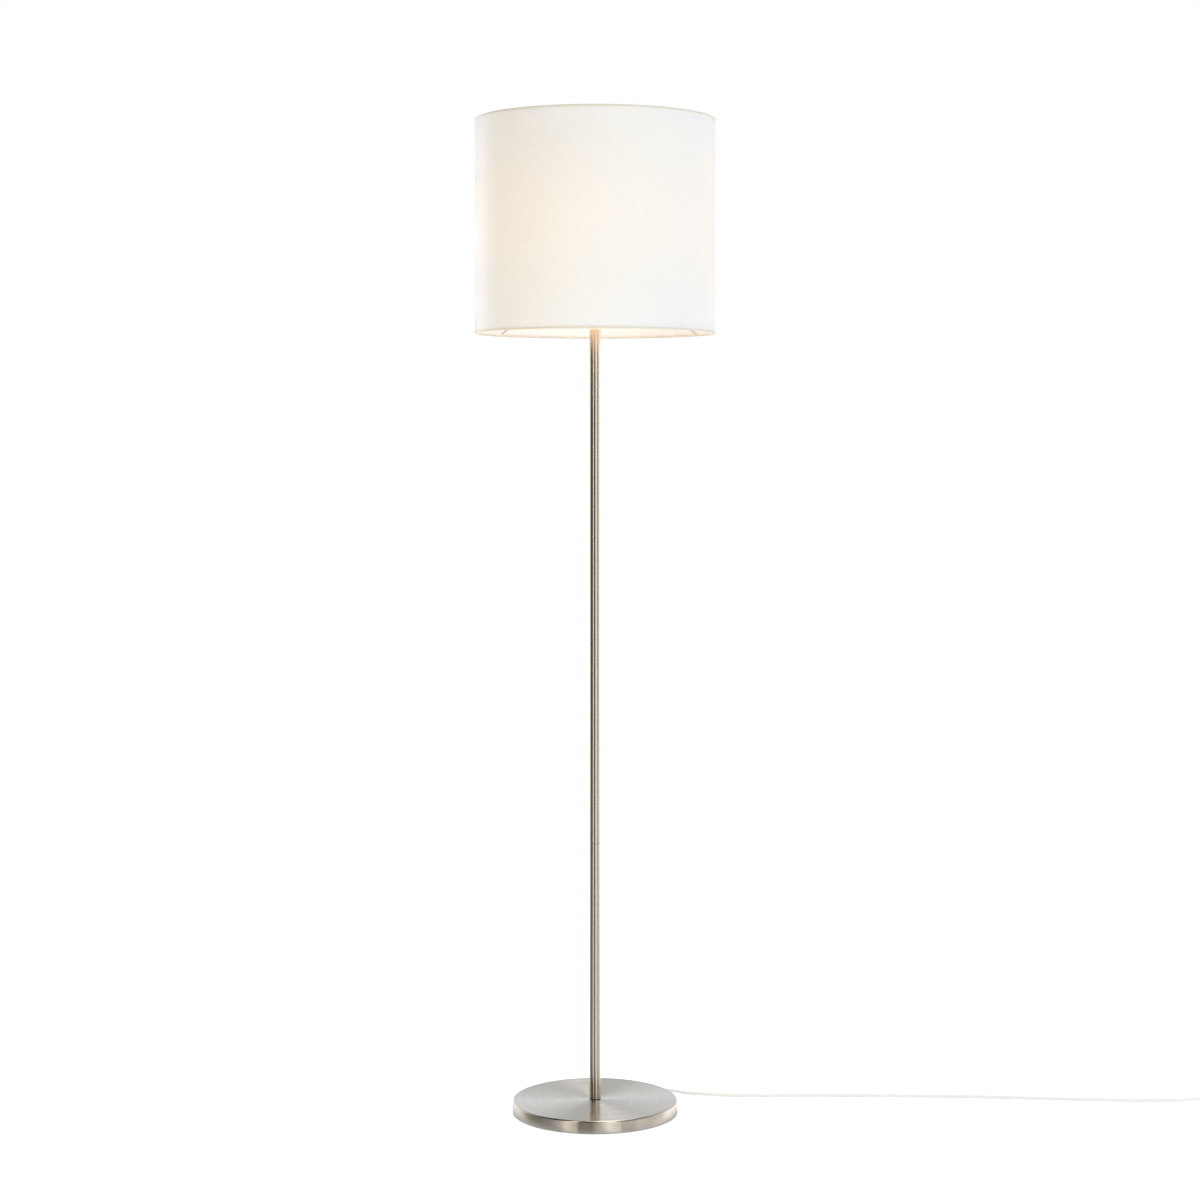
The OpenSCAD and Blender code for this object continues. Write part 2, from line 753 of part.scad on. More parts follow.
module bulb_housing() {
    plug_r = bulb_cap_r - cap_sheet - fit;
    neck_r = cap_rim_r + 0.6;
    wall = 1.6;
    low = bulb_cap_length;
    color([0.95, 0.95, 0.94])
        translate([0, 0, bulb_foot])
            rotate_extrude()
                polygon([
                    [0, low - 16], [plug_r, low - 16], [plug_r, low], [neck_r, low],
                    [neck_r, low + 3], [globe_foot_r, globe_foot],
                    [globe_foot_r - wall, globe_foot], [neck_r - wall, low + 4], [0, low + 4]
                ]);
}

module bulb_globe() {
    color([0.98, 0.97, 0.93])
        translate([0, 0, bulb_foot])
            difference() {
                translate([0, 0, globe_centre]) sphere(d = bulb_d, $fn = 96);
                translate([0, 0, globe_centre]) sphere(d = bulb_d - 2 * globe_wall, $fn = 96);
                translate([0, 0, globe_foot - bulb_d]) cylinder(d = 2 * bulb_d, h = bulb_d);
            }
}

/* ---- Shade ---- */

module shade_fabric() {
    color([0.95, 0.93, 0.88])
        sleeve(fabric_r, liner_r, shade_foot + hem_thick, shade_top - hem_thick);
}

module shade_liner() {
    color([0.98, 0.98, 0.97])
        sleeve(liner_r, liner_bore_r, shade_foot + hem_thick, shade_top - hem_thick);
}

module shade_seam() {
    half_angle = seam_width / 2 / fabric_r * 180 / PI;
    color([0.93, 0.91, 0.86])
        translate([0, 0, shade_foot + hem_h])
            rotate_extrude(angle = 2 * half_angle, start = 90 - half_angle)
                translate([fabric_r, 0]) square([hem_thick * 0.75, shade_h - 2 * hem_h]);
}

module top_hoop() {
    color([0.92, 0.92, 0.9]) hoop(shade_top - hoop_lift);
}

module bottom_hoop() {
    color([0.92, 0.92, 0.9]) hoop(shade_foot + hoop_lift);
}

// Each wire rises from the lower hoop to the rim of the carrier ring and is welded at both ends
module carrier_wires() {
    outer = [hoop_r - hoop_wire_d / 2 + weld, shade_foot + hoop_lift];
    inner = [carrier_d / 2 - weld, carrier_foot + carrier_thick / 2];
    run = outer - inner;
    color([0.9, 0.88, 0.84])
        for (k = [0 : 2])
            rotate([0, 0, arm_angle + 120 * k]) translate([inner.x, 0, inner.y])
                rotate([0, atan2(run.x, run.y), 0]) cylinder(d = arm_wire_d, h = norm(run));
}

module carrier_ring() {
    color([0.9, 0.88, 0.84])
        sleeve(carrier_d / 2, carrier_bore_d / 2, carrier_foot, carrier_foot + carrier_thick);
}

// A folded strip: a leg on the skin and a web under the sheet and the hoop
module hem_strip() {
    color([0.86, 0.8, 0.7]) {
        sleeve(shade_r, fabric_r, 0, hem_h);
        sleeve(shade_r, hoop_r - hoop_wire_d / 2, 0, hem_thick);
    }
}

module top_hem() translate([0, 0, shade_top]) mirror([0, 0, 1]) hem_strip();
module bottom_hem() translate([0, 0, shade_foot]) hem_strip();

/* ---- Flex, foot switch and plug ---- */

module flex_run() color([0.93, 0.93, 0.91]) swept_tube(smooth_line(run_route), flex_r, route_sides);
module flex_link() color([0.93, 0.93, 0.91]) swept_tube(smooth_line(link_route), flex_r, route_sides);
module flex_tail() color([0.93, 0.93, 0.91]) swept_tube(smooth_line(tail_route), flex_r, route_sides);
module flex_coil() color([0.93, 0.93, 0.91]) swept_tube(coil_line, flex_r, coil_sides);

// The tie goes round all turns of the coil, at the side that its ends don't use
module coil_tie() {
    tie_angle = 225;
    slack = 0.6;
    turns_in = coil_inner_r - flex_r - slack;
    turns_out = coil_outer_r + flex_r + slack;
    top = coil_high + flex_r + seat;
    color([0.95, 0.95, 0.94])
        translate([coil_centre.x, coil_centre.y, 0]) rotate([0, 0, tie_angle])
            difference() {
                translate([turns_in - tie_thick, -tie_width / 2, 0])
                    cube([turns_out - turns_in + 2 * tie_thick, tie_width, top + tie_thick]);
                translate([turns_in, -tie_width, tie_thick])
                    cube([turns_out - turns_in, 2 * tie_width, top - tie_thick]);
            }
}

switch_top = switch_base_h + switch_cover_h;
cover_plate = 2.4;
button_top = switch_top + button_travel + button_rest;
button_ceiling = button_top - 2.5;
button_flange_top = switch_top - cover_plate - seat;
button_flange_h = 1.5;
button_flange_d = button_d + 3;
spring_r = 5.2;
spring_wall = 0.9;
switch_screw_place = [switch_length / 2 - switch_width / 2 + 3, -switch_width / 2 + 7];
switch_screw_d = 3;
switch_boss_d = 6.4;

module at_switch() translate([switch_place.x, switch_place.y, 0]) children();

module at_switch_screws() {
    for (s = [-1, 1]) translate([s * switch_screw_place.x, s * switch_screw_place.y, 0]) children();
}

module switch_base() {
    port_h = run_end.z;
    port_d = flex_d + 3;
    inside = switch_length / 2 - 1;
    color([0.93, 0.93, 0.91])
        at_switch() difference() {
            union() {
                difference() {
                    stadium(switch_length, switch_width, 0, switch_base_h);
                    stadium(switch_length - 2 * switch_wall, switch_width - 2 * switch_wall,
                        switch_wall, switch_base_h + 1);
                }
                at_switch_screws() cylinder(d = switch_boss_d, h = switch_base_h);
                for (s = [-1, 1]) difference() {
                    translate([s * (switch_port + inside) / 2, 0, port_h]) rotate([0, 90, 0])
                        cylinder(d = port_d, h = switch_port - inside, center = true);
                    translate([s * (inside - 5), 0, switch_base_h + 10])
                        cube([2 * (5 + 1 + seat), 2 * port_d, 20], center = true);
                }
            }
            at_switch_screws() {
                translate([0, 0, -1]) cylinder(d = switch_screw_d + 2 * seat, h = switch_base_h + 2);
                translate([0, 0, -1]) cylinder(d = clamp_head_d + 2 * seat, h = 1 + 2.2);
            }
        }
}

module switch_cover() {
    edge = 2.5;
    color([0.93, 0.93, 0.91])
        at_switch() difference() {
            union() {
                difference() {
                    union() {
                        stadium(switch_length, switch_width, switch_base_h, switch_top - edge);
                        stadium(switch_length - edge, switch_width - edge, switch_top - edge, switch_top);
                    }
                    stadium(switch_length - 2 * switch_wall, switch_width - 2 * switch_wall,
                        switch_base_h - 1, switch_top - cover_plate);
                }
                at_switch_screws() translate([0, 0, switch_base_h])
                    cylinder(d = switch_boss_d, h = switch_cover_h - cover_plate / 2);
            }
            translate([0, 0, switch_base_h]) cylinder(d = button_d + 2 * seat, h = switch_cover_h + 1);
            at_switch_screws() translate([0, 0, switch_base_h - 1])
                cylinder(d = switch_screw_d + 2 * fit, h = 8);
        }
}

module switch_button() {
    recess_r = spring_r + 2 * seat;
    color([0.88, 0.88, 0.86])
        at_switch() rotate_extrude()
            polygon([
                [0, button_top], [button_d / 2 - 1, button_top],
                [button_d / 2, button_top - 1], [button_d / 2, button_flange_top],
                [button_flange_d / 2, button_flange_top],
                [button_flange_d / 2, button_flange_top - button_flange_h],
                [recess_r, button_flange_top - button_flange_h], [recess_r, button_ceiling],
                [0, button_ceiling]
            ]);
}

module button_spring() {
    color([0.6, 0.6, 0.62])
        at_switch() sleeve(spring_r, spring_r - spring_wall, switch_base_h, button_ceiling);
}

module switch_contacts() {
    block_length = 40;
    block_width = 16;
    color([0.3, 0.3, 0.32])
        at_switch() translate([-block_length / 2, -block_width / 2, switch_wall])
            cube([block_length, block_width, switch_base_h - switch_wall]);
}

module switch_screws() {
    head_foot = 0.6;
    color([0.6, 0.6, 0.62])
        at_switch() at_switch_screws() {
            translate([0, 0, head_foot]) cylinder(d = clamp_head_d, h = 1.6);
            translate([0, 0, head_foot]) cylinder(d = switch_screw_d, h = switch_base_h + 4);
        }
}

plug_face = tail_end.y - plug_boot_length - plug_length;
pin_root_d = pin_d - 0.6;
pin_root_length = 9.5;
pin_tip_h = 1;

module plug_body() {
    grip_width = plug_width - 7;
    neck_width = flex_d + 6;
    boot_d = flex_d + 4;
    color([0.93, 0.93, 0.91])
        difference() {
            union() {
                translate([tail_x, plug_face, plug_h]) rotate([-90, 0, 0]) {
                    hull() {
                        for (s = [-1, 1]) translate([s * (plug_width - plug_thick) / 2, 0, 0])
                            cylinder(d = plug_thick, h = 8, $fn = 32);
                    }
                    hull() {
                        for (s = [-1, 1]) translate([s * (plug_width - plug_thick) / 2, 0, 7])
                            cylinder(d = plug_thick, h = 1, $fn = 32);
                        for (s = [-1, 1]) translate([s * (grip_width - plug_thick) / 2, 0, plug_length - 14])
                            cylinder(d = plug_thick - 1, h = 1, $fn = 32);
                    }
                    hull() {
                        for (s = [-1, 1]) translate([s * (grip_width - plug_thick) / 2, 0, plug_length - 14])
                            cylinder(d = plug_thick - 1, h = 1, $fn = 32);
                        translate([0, 0, plug_length - 1]) cylinder(d = neck_width, h = 1, $fn = 32);
                    }
                }
                translate([tail_x, tail_end.y, plug_h]) rotate([90, 0, 0])
                    cylinder(d1 = boot_d - 1.6, d2 = boot_d, h = plug_boot_length + 0.5);
            }
            for (s = [-1, 1]) translate([tail_x + s * pin_spacing / 2, plug_face - 1, plug_h])
                rotate([-90, 0, 0]) cylinder(d = pin_root_d + 2 * fit, h = pin_root_length + 1 + fit);
        }
}

module plug_pins() {
    color([0.8, 0.78, 0.74])
        for (s = [-1, 1]) translate([tail_x + s * pin_spacing / 2, plug_face - pin_length, plug_h])
            rotate([-90, 0, 0]) rotate_extrude()
                polygon([
                    [0, 0], [pin_d / 2 - 0.8, 0], [pin_d / 2, pin_tip_h], [pin_d / 2, pin_length],
                    [pin_root_d / 2, pin_length], [pin_root_d / 2, pin_length + pin_root_length],
                    [0, pin_length + pin_root_length]
                ]);
}

base_shell();
base_weight();
bottom_plate();
floor_pad();
bottom_screws();
base_stud();
stud_washer();
stud_nut();
cord_clamp();
clamp_screws();
cord_grommet();
foot_insert();
foot_gasket();
lower_tube();
lower_socket();
middle_stud();
middle_tube();
middle_socket();
upper_stud();
upper_tube();
top_insert();
column_cap();
neck_nipple();
neck_sleeve();
column_cable();
holder_cap();
holder_body();
holder_core();
screw_sleeve();
holder_contacts();
terminal_screws();
lead_wires();
shade_ring();
bulb_cap();
bulb_tip();
bulb_housing();
bulb_globe();
shade_fabric();
shade_liner();
shade_seam();
top_hoop();
bottom_hoop();
carrier_wires();
carrier_ring();
top_hem();
bottom_hem();
flex_run();
switch_base();
switch_cover();
switch_button();
button_spring();
switch_contacts();
switch_screws();
flex_link();
flex_coil();
coil_tie();
flex_tail();
plug_body();
plug_pins();
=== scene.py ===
import json
import math

import bmesh
import bpy
from mathutils import Matrix, Vector
from mathutils.noise import noise


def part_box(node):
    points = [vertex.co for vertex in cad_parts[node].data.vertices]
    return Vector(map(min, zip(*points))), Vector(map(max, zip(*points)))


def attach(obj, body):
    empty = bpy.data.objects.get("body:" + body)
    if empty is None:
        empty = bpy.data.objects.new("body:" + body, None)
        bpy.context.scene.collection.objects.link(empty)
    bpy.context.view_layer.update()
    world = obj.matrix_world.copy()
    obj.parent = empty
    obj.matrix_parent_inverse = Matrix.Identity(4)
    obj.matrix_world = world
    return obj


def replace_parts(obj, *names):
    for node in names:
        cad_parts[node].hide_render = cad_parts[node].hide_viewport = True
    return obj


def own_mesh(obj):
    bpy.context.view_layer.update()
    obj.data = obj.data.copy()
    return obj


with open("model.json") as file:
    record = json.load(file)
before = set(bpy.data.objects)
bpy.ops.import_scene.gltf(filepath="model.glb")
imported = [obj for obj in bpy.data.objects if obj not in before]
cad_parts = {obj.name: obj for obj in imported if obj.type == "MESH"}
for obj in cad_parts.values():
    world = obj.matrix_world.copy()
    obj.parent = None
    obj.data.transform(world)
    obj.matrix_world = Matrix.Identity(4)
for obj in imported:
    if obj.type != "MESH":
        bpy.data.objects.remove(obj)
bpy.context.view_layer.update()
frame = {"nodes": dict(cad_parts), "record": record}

NODES = frame["nodes"]
scene = bpy.context.scene

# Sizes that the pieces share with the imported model, in metres and radians
BASE_R = 0.137
COLUMN_R = 0.0095
EXIT_ANGLE = math.radians(42)
RELIEF_REACH = 0.020
CABLE_H = 0.007
SHADE_R = 0.200
SHEET_R = 0.19875
HEM_THICK = 0.0004
HEM_H = 0.0032
SHADE_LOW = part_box("bottom_hem")[0].z
SHADE_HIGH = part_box("top_hem")[1].z
FLEX_D = 0.006
SWITCH = Vector((1.093, 0.060, 0.0))
SWITCH_PORT = 0.046
COIL_CENTRE = Vector((1.180, 0.018975, 0.0))
COIL_INNER = 0.027
COIL_PITCH = 0.0066
COIL_TURNS = 4.25
COIL_LOW = 0.0041
PLUG_H = 0.007


# ---------------------------------------------------------------- camera

def make_camera():
    """The photo's level camera, fitted to the lamp's outlines."""
    data = bpy.data.cameras.new("camera")
    data.sensor_width = 36
    data.lens = 74.493
    data.shift_x = 0.0041
    data.shift_y = -0.13463
    data.clip_end = 60
    camera = bpy.data.objects.new("camera", data)
    camera.location = (0, -4.1305, 1.1201)
    camera.rotation_euler = (math.radians(90), 0, 0)
    scene.collection.objects.link(camera)
    scene.camera = camera


make_camera()


# ---------------------------------------------------------------- shader graphs

class Graph:
    """Short words for building a node tree."""

    def __init__(self, tree):
        self.tree = tree

    def feed(self, socket, value):
        if isinstance(value, bpy.types.NodeSocket):
            self.tree.links.new(value, socket)
        else:
            socket.default_value = value

    def node(self, kind, inputs=(), **props):
        made = self.tree.nodes.new(kind)
        for key, value in props.items():
            setattr(made, key, value)
        for key, value in dict(inputs).items():
            self.feed(made.inputs[key], value)
        return made

    def math(self, operation, *values, clamp=False):
        made = self.node("ShaderNodeMath", enumerate(values), operation=operation, use_clamp=clamp)
        return made.outputs[0]

    def vector(self, operation, *values):
        return self.node("ShaderNodeVectorMath", enumerate(values), operation=operation).outputs[0]

    def length(self, value):
        return self.node("ShaderNodeVectorMath", {0: value}, operation="LENGTH").outputs["Value"]

    def split(self, value):
        return self.node("ShaderNodeSeparateXYZ", {0: value}).outputs

    def join(self, x, y, z):
        return self.node("ShaderNodeCombineXYZ", {0: x, 1: y, 2: z}).outputs[0]

    def place(self):
        return self.node("ShaderNodeTexCoord").outputs["Object"]

    def noise(self, vector, scale, detail=2.0, roughness=0.5):
        return self.node("ShaderNodeTexNoise", {
            "Vector": vector, "Scale": scale, "Detail": detail, "Roughness": roughness,
        }).outputs[0]

    def noise_4d(self, vector, w, detail):
        return self.node("ShaderNodeTexNoise", {
            "Vector": vector, "W": w, "Scale": 1.0, "Detail": detail,
        }, noise_dimensions="4D").outputs[0]

    def stretch(self, value, low, high):
        """A 0 to 1 value, spread over low to high."""
        return self.node("ShaderNodeMapRange", {
            "Value": value, "To Min": low, "To Max": high,
        }).outputs[0]

    def span(self, value, start, end):
        """How far a value has come from start to end, as 0 to 1."""
        return self.node("ShaderNodeMapRange", {
            "Value": value, "From Min": start, "From Max": end,
        }).outputs[0]

    def mix(self, share, a, b):
        """A colour between a and b."""
        made = self.node("ShaderNodeMix", data_type="RGBA")
        self.feed(made.inputs[0], share)
        self.feed(made.inputs[6], a)
        self.feed(made.inputs[7], b)
        return made.outputs[2]

    def bump(self, height, distance, strength=1.0, normal=None):
        made = self.node("ShaderNodeBump", {
            "Height": height, "Distance": distance, "Strength": strength,
        })
        if normal is not None:
            self.feed(made.inputs["Normal"], normal)
        return made.outputs[0]

    def blend(self, share, first, second):
        """A shader between the first and the second."""
        return self.node("ShaderNodeMixShader", {0: share, 1: first, 2: second}).outputs[0]

    def background(self, colour, strength):
        return self.node("ShaderNodeBackground", {"Color": colour, "Strength": strength}).outputs[0]

    def ray(self, kind):
        return self.node("ShaderNodeLightPath").outputs[kind]

    def seen(self):
        """1 for what the camera sees, straight or through a clear piece."""
        return self.math("MAXIMUM", self.ray("Is Camera Ray"), self.ray("Is Transmission Ray"))


def rgb(r, g, b):
    return (r, g, b, 1.0)


def darker(colour, share):
    return rgb(*(c * share for c in colour[:3]))


def new_material(name, base, roughness, metallic=0.0, **sockets):
    """A material with one Principled shader; sockets are its inputs, spaces written as _."""
    material = bpy.data.materials.new(name)
    material.use_nodes = True
    graph = Graph(material.node_tree)
    shader = material.node_tree.nodes["Principled BSDF"]
    shader.inputs["Base Color"].default_value = base
    shader.inputs["Roughness"].default_value = roughness
    shader.inputs["Metallic"].default_value = metallic
    for key, value in sockets.items():
        shader.inputs[key.replace("_", " ")].default_value = value
    return material, graph, shader


def surface_of(material):
    return material.node_tree.nodes["Material Output"].inputs["Surface"]


def pass_light(material, graph, shader, share, colour, normal):
    """Makes a thin surface translucent for a share of the light."""
    through = graph.node("ShaderNodeBsdfTranslucent", {"Color": colour, "Normal": normal}).outputs[0]
    graph.feed(surface_of(material), graph.blend(share, shader.outputs[0], through))


def around_axis(graph):
    """The direction from the Z axis as a level vector, the distance from it and the height."""
    x, y, z = graph.split(graph.place())
    flat = graph.join(x, y, 0.0)
    return graph.vector("NORMALIZE", flat), graph.length(flat), z


def satin_nickel():
    """Nickel plate with brush lines that run round the Z axis, finer on the upright walls."""
    material, graph, shader = new_material("satin_nickel", rgb(0.64, 0.59, 0.515), 0.3, 1.0,
                                           Anisotropic=1.0, Anisotropic_Rotation=0.25)
    direction, distance, height = around_axis(graph)
    x, y, _ = graph.split(graph.vector("MULTIPLY", direction, (1.6, 1.6, 0.0)))

    def brush(out_scale, up_scale, detail):
        out = graph.math("MULTIPLY", distance, out_scale)
        up = graph.math("MULTIPLY", height, up_scale)
        return graph.noise_4d(graph.join(x, y, out), up, detail)

    lines = brush(2600.0, 2600.0, 3.0)
    broad = brush(234.0, 130.0, 2.0)
    both = graph.math("MULTIPLY_ADD", broad, 0.6, graph.math("MULTIPLY", lines, 0.4))
    tone = graph.span(both, 0.36, 0.64)
    graph.feed(shader.inputs["Base Color"],
               graph.mix(tone, rgb(0.615, 0.567, 0.495), rgb(0.685, 0.632, 0.553)))
    smudge = graph.noise(graph.place(), 16.0, 3.0)
    roughness = graph.math("ADD", graph.stretch(tone, 0.235, 0.275), graph.stretch(smudge, -0.01, 0.01))
    base_wall = graph.math("GREATER_THAN", distance, BASE_R - 0.0004)
    column = graph.math("LESS_THAN", distance, COLUMN_R + 0.0001)
    wall = graph.math("MAXIMUM", base_wall, column)
    graph.feed(shader.inputs["Roughness"], graph.math("MULTIPLY_ADD", wall, -0.09, roughness))
    graph.feed(shader.inputs["Normal"], graph.bump(lines, 0.000008, 0.1))
    tangent = graph.node("ShaderNodeTangent", direction_type="RADIAL", axis="Z")
    graph.feed(shader.inputs["Tangent"], tangent.outputs[0])
    return material


THREAD_PITCH = 0.00062


def weave_height(graph, along, up):
    """Height of a plain weave: threads along and up in turn over and under each other."""
    warp = graph.math("SINE", graph.math("MULTIPLY", along, math.pi / THREAD_PITCH))
    weft = graph.math("SINE", graph.math("MULTIPLY", up, math.pi / THREAD_PITCH))
    both = graph.math("ADD", graph.math("ABSOLUTE", warp), graph.math("ABSOLUTE", weft))
    return graph.math("MULTIPLY_ADD", graph.math("MULTIPLY", warp, weft), 0.35,
                      graph.math("MULTIPLY", both, 0.5))


def round_shade(graph):
    """Arc length round the shade from its front, and height; the join of the arc is at the back."""
    x, y, z = graph.split(graph.place())
    angle = graph.math("ARCTAN2", x, graph.math("MULTIPLY", y, -1.0))
    return graph.math("MULTIPLY", angle, SHADE_R), z


def cloth_noise(graph, along, up, along_scale, up_scale, layer=0.0, detail=2.0):
    """Noise on the rolled-out shade, with a scale of its own along and up."""
    x = graph.math("MULTIPLY", along, along_scale)
    y = graph.math("MULTIPLY", up, up_scale)
    return graph.noise(graph.join(x, y, layer), 1.0, detail)


def textile(name, base, dark, translucent=None, share=0.0):
    """Plain-woven textile with uneven threads, which lets a share of the light through."""
    material, graph, shader = new_material(name, base, 0.85, Sheen_Weight=0.25, Sheen_Roughness=0.5)
    along, up = round_shade(graph)
    fibre = cloth_noise(graph, along, up, 90.0, 1500.0)
    slub = cloth_noise(graph, along, up, 1500.0, 70.0, layer=3.0)
    uneven = graph.math("ADD", fibre, slub)
    wander = cloth_noise(graph, along, up, 60.0, 60.0, layer=5.0, detail=1.0)
    shift = graph.stretch(wander, -0.0005, 0.0005)
    weave = weave_height(graph, graph.math("ADD", along, shift), graph.math("ADD", up, shift))
    tone = graph.math("MULTIPLY_ADD", graph.math("ADD", uneven, -1.0), 1.3,
                      graph.math("MULTIPLY_ADD", weave, 0.35, 0.35), clamp=True)
    graph.feed(shader.inputs["Base Color"], graph.mix(tone, dark, base))
    normal = graph.bump(graph.math("MULTIPLY_ADD", uneven, 0.5, weave), 0.00012, 0.6)
    graph.feed(shader.inputs["Normal"], normal)
    if share:
        colour = graph.mix(tone, darker(translucent, 0.93), translucent)
        pass_light(material, graph, shader, share, colour, normal)
    return material


def translucent_sheet():
    """The smooth plastic sheet inside the textile."""
    material, graph, shader = new_material("shade_sheet", rgb(0.88, 0.87, 0.86), 0.45)
    along, up = round_shade(graph)
    ripple = cloth_noise(graph, along, up, 40.0, 25.0)
    grain = graph.noise(graph.place(), 900.0, 2.0)
    graph.feed(shader.inputs["Base Color"],
               graph.mix(ripple, rgb(0.84, 0.83, 0.82), rgb(0.88, 0.87, 0.86)))
    normal = graph.bump(grain, 0.00003, 0.4, graph.bump(ripple, 0.0006, 0.2))
    graph.feed(shader.inputs["Normal"], normal)
    pass_light(material, graph, shader, 0.48, rgb(0.97, 0.95, 0.91), normal)
    return material


def moulded(name, base, roughness, grain=1200.0, depth=0.00002, coat=0.0):
    """Moulded plastic or rubber with a fine spark-eroded grain and faint flow marks."""
    material, graph, shader = new_material(name, base, roughness, Coat_Weight=coat,
                                           Coat_Roughness=0.2)
    place = graph.place()
    fine = graph.noise(place, grain, 3.0)
    flow = graph.noise(place, 45.0, 3.0)
    graph.feed(shader.inputs["Base Color"],
               graph.mix(graph.span(flow, 0.3, 0.7), darker(base, 0.94), base))
    graph.feed(shader.inputs["Roughness"], graph.math("ADD", graph.stretch(fine, -0.06, 0.06), roughness))
    graph.feed(shader.inputs["Normal"], graph.bump(fine, depth, 0.6))
    return material


def plain_metal(name, base, roughness):
    """Turned or plated metal with small irregular marks."""
    material, graph, shader = new_material(name, base, roughness, 1.0)
    place = graph.place()
    marks = graph.noise(graph.vector("MULTIPLY", place, (1.0, 1.0, 4.0)), 600.0, 3.0)
    tarnish = graph.noise(place, 60.0, 4.0)
    graph.feed(shader.inputs["Base Color"],
               graph.mix(graph.span(tarnish, 0.35, 0.65), darker(base, 0.78), base))
    graph.feed(shader.inputs["Roughness"], graph.math("ADD", graph.stretch(marks, -0.08, 0.08), roughness))
    graph.feed(shader.inputs["Normal"], graph.bump(marks, 0.00002, 0.5))
    return material


def cast_metal():
    """Dark cast iron with the grain of its sand mould."""
    material, graph, shader = new_material("cast_iron", rgb(0.05, 0.05, 0.055), 0.6, 0.2)
    sand = graph.noise(graph.place(), 260.0, 5.0, 0.65)
    graph.feed(shader.inputs["Base Color"], graph.mix(sand, rgb(0.03, 0.03, 0.032), rgb(0.11, 0.105, 0.1)))
    graph.feed(shader.inputs["Normal"], graph.bump(sand, 0.0004, 0.8))
    return material


def foam():
    """Black foam with fine pores."""
    material, graph, shader = new_material("floor_pad", rgb(0.05, 0.05, 0.05), 0.95)
    cells = graph.node("ShaderNodeTexVoronoi", {"Vector": graph.place(), "Scale": 700.0})
    pores = cells.outputs["Distance"]
    graph.feed(shader.inputs["Base Color"],
               graph.mix(pores, rgb(0.02, 0.02, 0.02), rgb(0.075, 0.075, 0.075)))
    graph.feed(shader.inputs["Normal"], graph.bump(pores, 0.0004, 0.8))
    return material


def flex_sheath():
    """White sheath over two twisted cores, whose lay shows as a faint slow wave."""
    material, graph, shader = new_material("flex_sheath", rgb(0.94, 0.88, 0.81), 0.38)
    place = graph.place()
    lay = graph.node("ShaderNodeTexWave", {
        "Vector": place, "Scale": 22.0, "Distortion": 3.0, "Detail": 1.0,
    }, wave_type="BANDS", bands_direction="DIAGONAL").outputs["Fac"]
    skin = graph.noise(place, 900.0, 2.0)
    graph.feed(shader.inputs["Base Color"], graph.mix(lay, rgb(0.92, 0.86, 0.79), rgb(0.95, 0.89, 0.82)))
    graph.feed(shader.inputs["Roughness"], graph.stretch(skin, 0.32, 0.46))
    normal = graph.bump(skin, 0.00003, 0.3, graph.bump(lay, 0.0003, 0.25))
    graph.feed(shader.inputs["Normal"], normal)
    pass_light(material, graph, shader, 0.35, rgb(0.95, 0.94, 0.92), normal)
    return material


def opal_globe():
    """The lit bulb's hazy diffuser."""
    material, graph, shader = new_material("bulb_globe", rgb(0.95, 0.94, 0.9), 0.35,
                                           Emission_Color=rgb(1.0, 0.66, 0.34), Emission_Strength=26.0)
    haze = graph.noise(graph.place(), 120.0, 2.0)
    graph.feed(shader.inputs["Base Color"], graph.mix(haze, rgb(0.93, 0.92, 0.88), rgb(0.96, 0.95, 0.92)))
    return material


def screw_shell_metal():
    """Plated screw shell, marked by being screwed in and out."""
    material, graph, shader = new_material("bulb_metal", rgb(0.7, 0.69, 0.67), 0.28, 1.0)
    marks = graph.noise(graph.place(), 400.0, 3.0)
    graph.feed(shader.inputs["Base Color"], graph.mix(marks, rgb(0.6, 0.59, 0.57), rgb(0.75, 0.74, 0.72)))
    graph.feed(shader.inputs["Roughness"], graph.stretch(marks, 0.2, 0.38))
    return material


def pin_metal():
    """Plug pins: nickel tips, with a plastic sleeve over the half next to the body."""
    material, graph, shader = new_material("pin_metal", rgb(0.72, 0.7, 0.66), 0.25, 1.0)
    _, y, _ = graph.split(graph.place())
    sleeve_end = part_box("plug_pins")[0].y + 0.01
    sleeved = graph.span(y, sleeve_end - 0.0002, sleeve_end + 0.0001)
    marks = graph.noise(graph.place(), 700.0, 2.0)
    metal = graph.mix(marks, rgb(0.64, 0.62, 0.58), rgb(0.76, 0.74, 0.7))
    graph.feed(shader.inputs["Base Color"], graph.mix(sleeved, metal, rgb(0.9, 0.84, 0.77)))
    graph.feed(shader.inputs["Metallic"], graph.math("SUBTRACT", 1.0, sleeved))
    roughness = graph.stretch(marks, 0.2, 0.32)
    graph.feed(shader.inputs["Roughness"], graph.math("MULTIPLY_ADD", sleeved, 0.2, roughness))
    return material


def wire_with_painted_shade_arms():
    """White lacquer on the hoops; the carrier's arms and ring get a darker brown-grey, which is painted
    shade for wires seen in shadow against the lit inside of the shade.
    """
    material, graph, shader = new_material("shade_wire", rgb(0.8, 0.75, 0.68), 0.4)
    _, distance, _ = around_axis(graph)
    worn = graph.noise(graph.place(), 300.0, 3.0)
    hoops = graph.mix(worn, rgb(0.77, 0.72, 0.65), rgb(0.82, 0.77, 0.7))
    # Painted shade: the arms and ring are coloured brown-grey for the shadow they sit in against the lit
    # inside.
    painted_shade_arms = graph.mix(worn, rgb(0.42, 0.35, 0.29), rgb(0.5, 0.42, 0.35))
    graph.feed(shader.inputs["Base Color"], graph.mix(graph.span(distance, 0.188, 0.194), painted_shade_arms, hoops))
    graph.feed(shader.inputs["Roughness"], graph.stretch(worn, 0.34, 0.48))
    return material


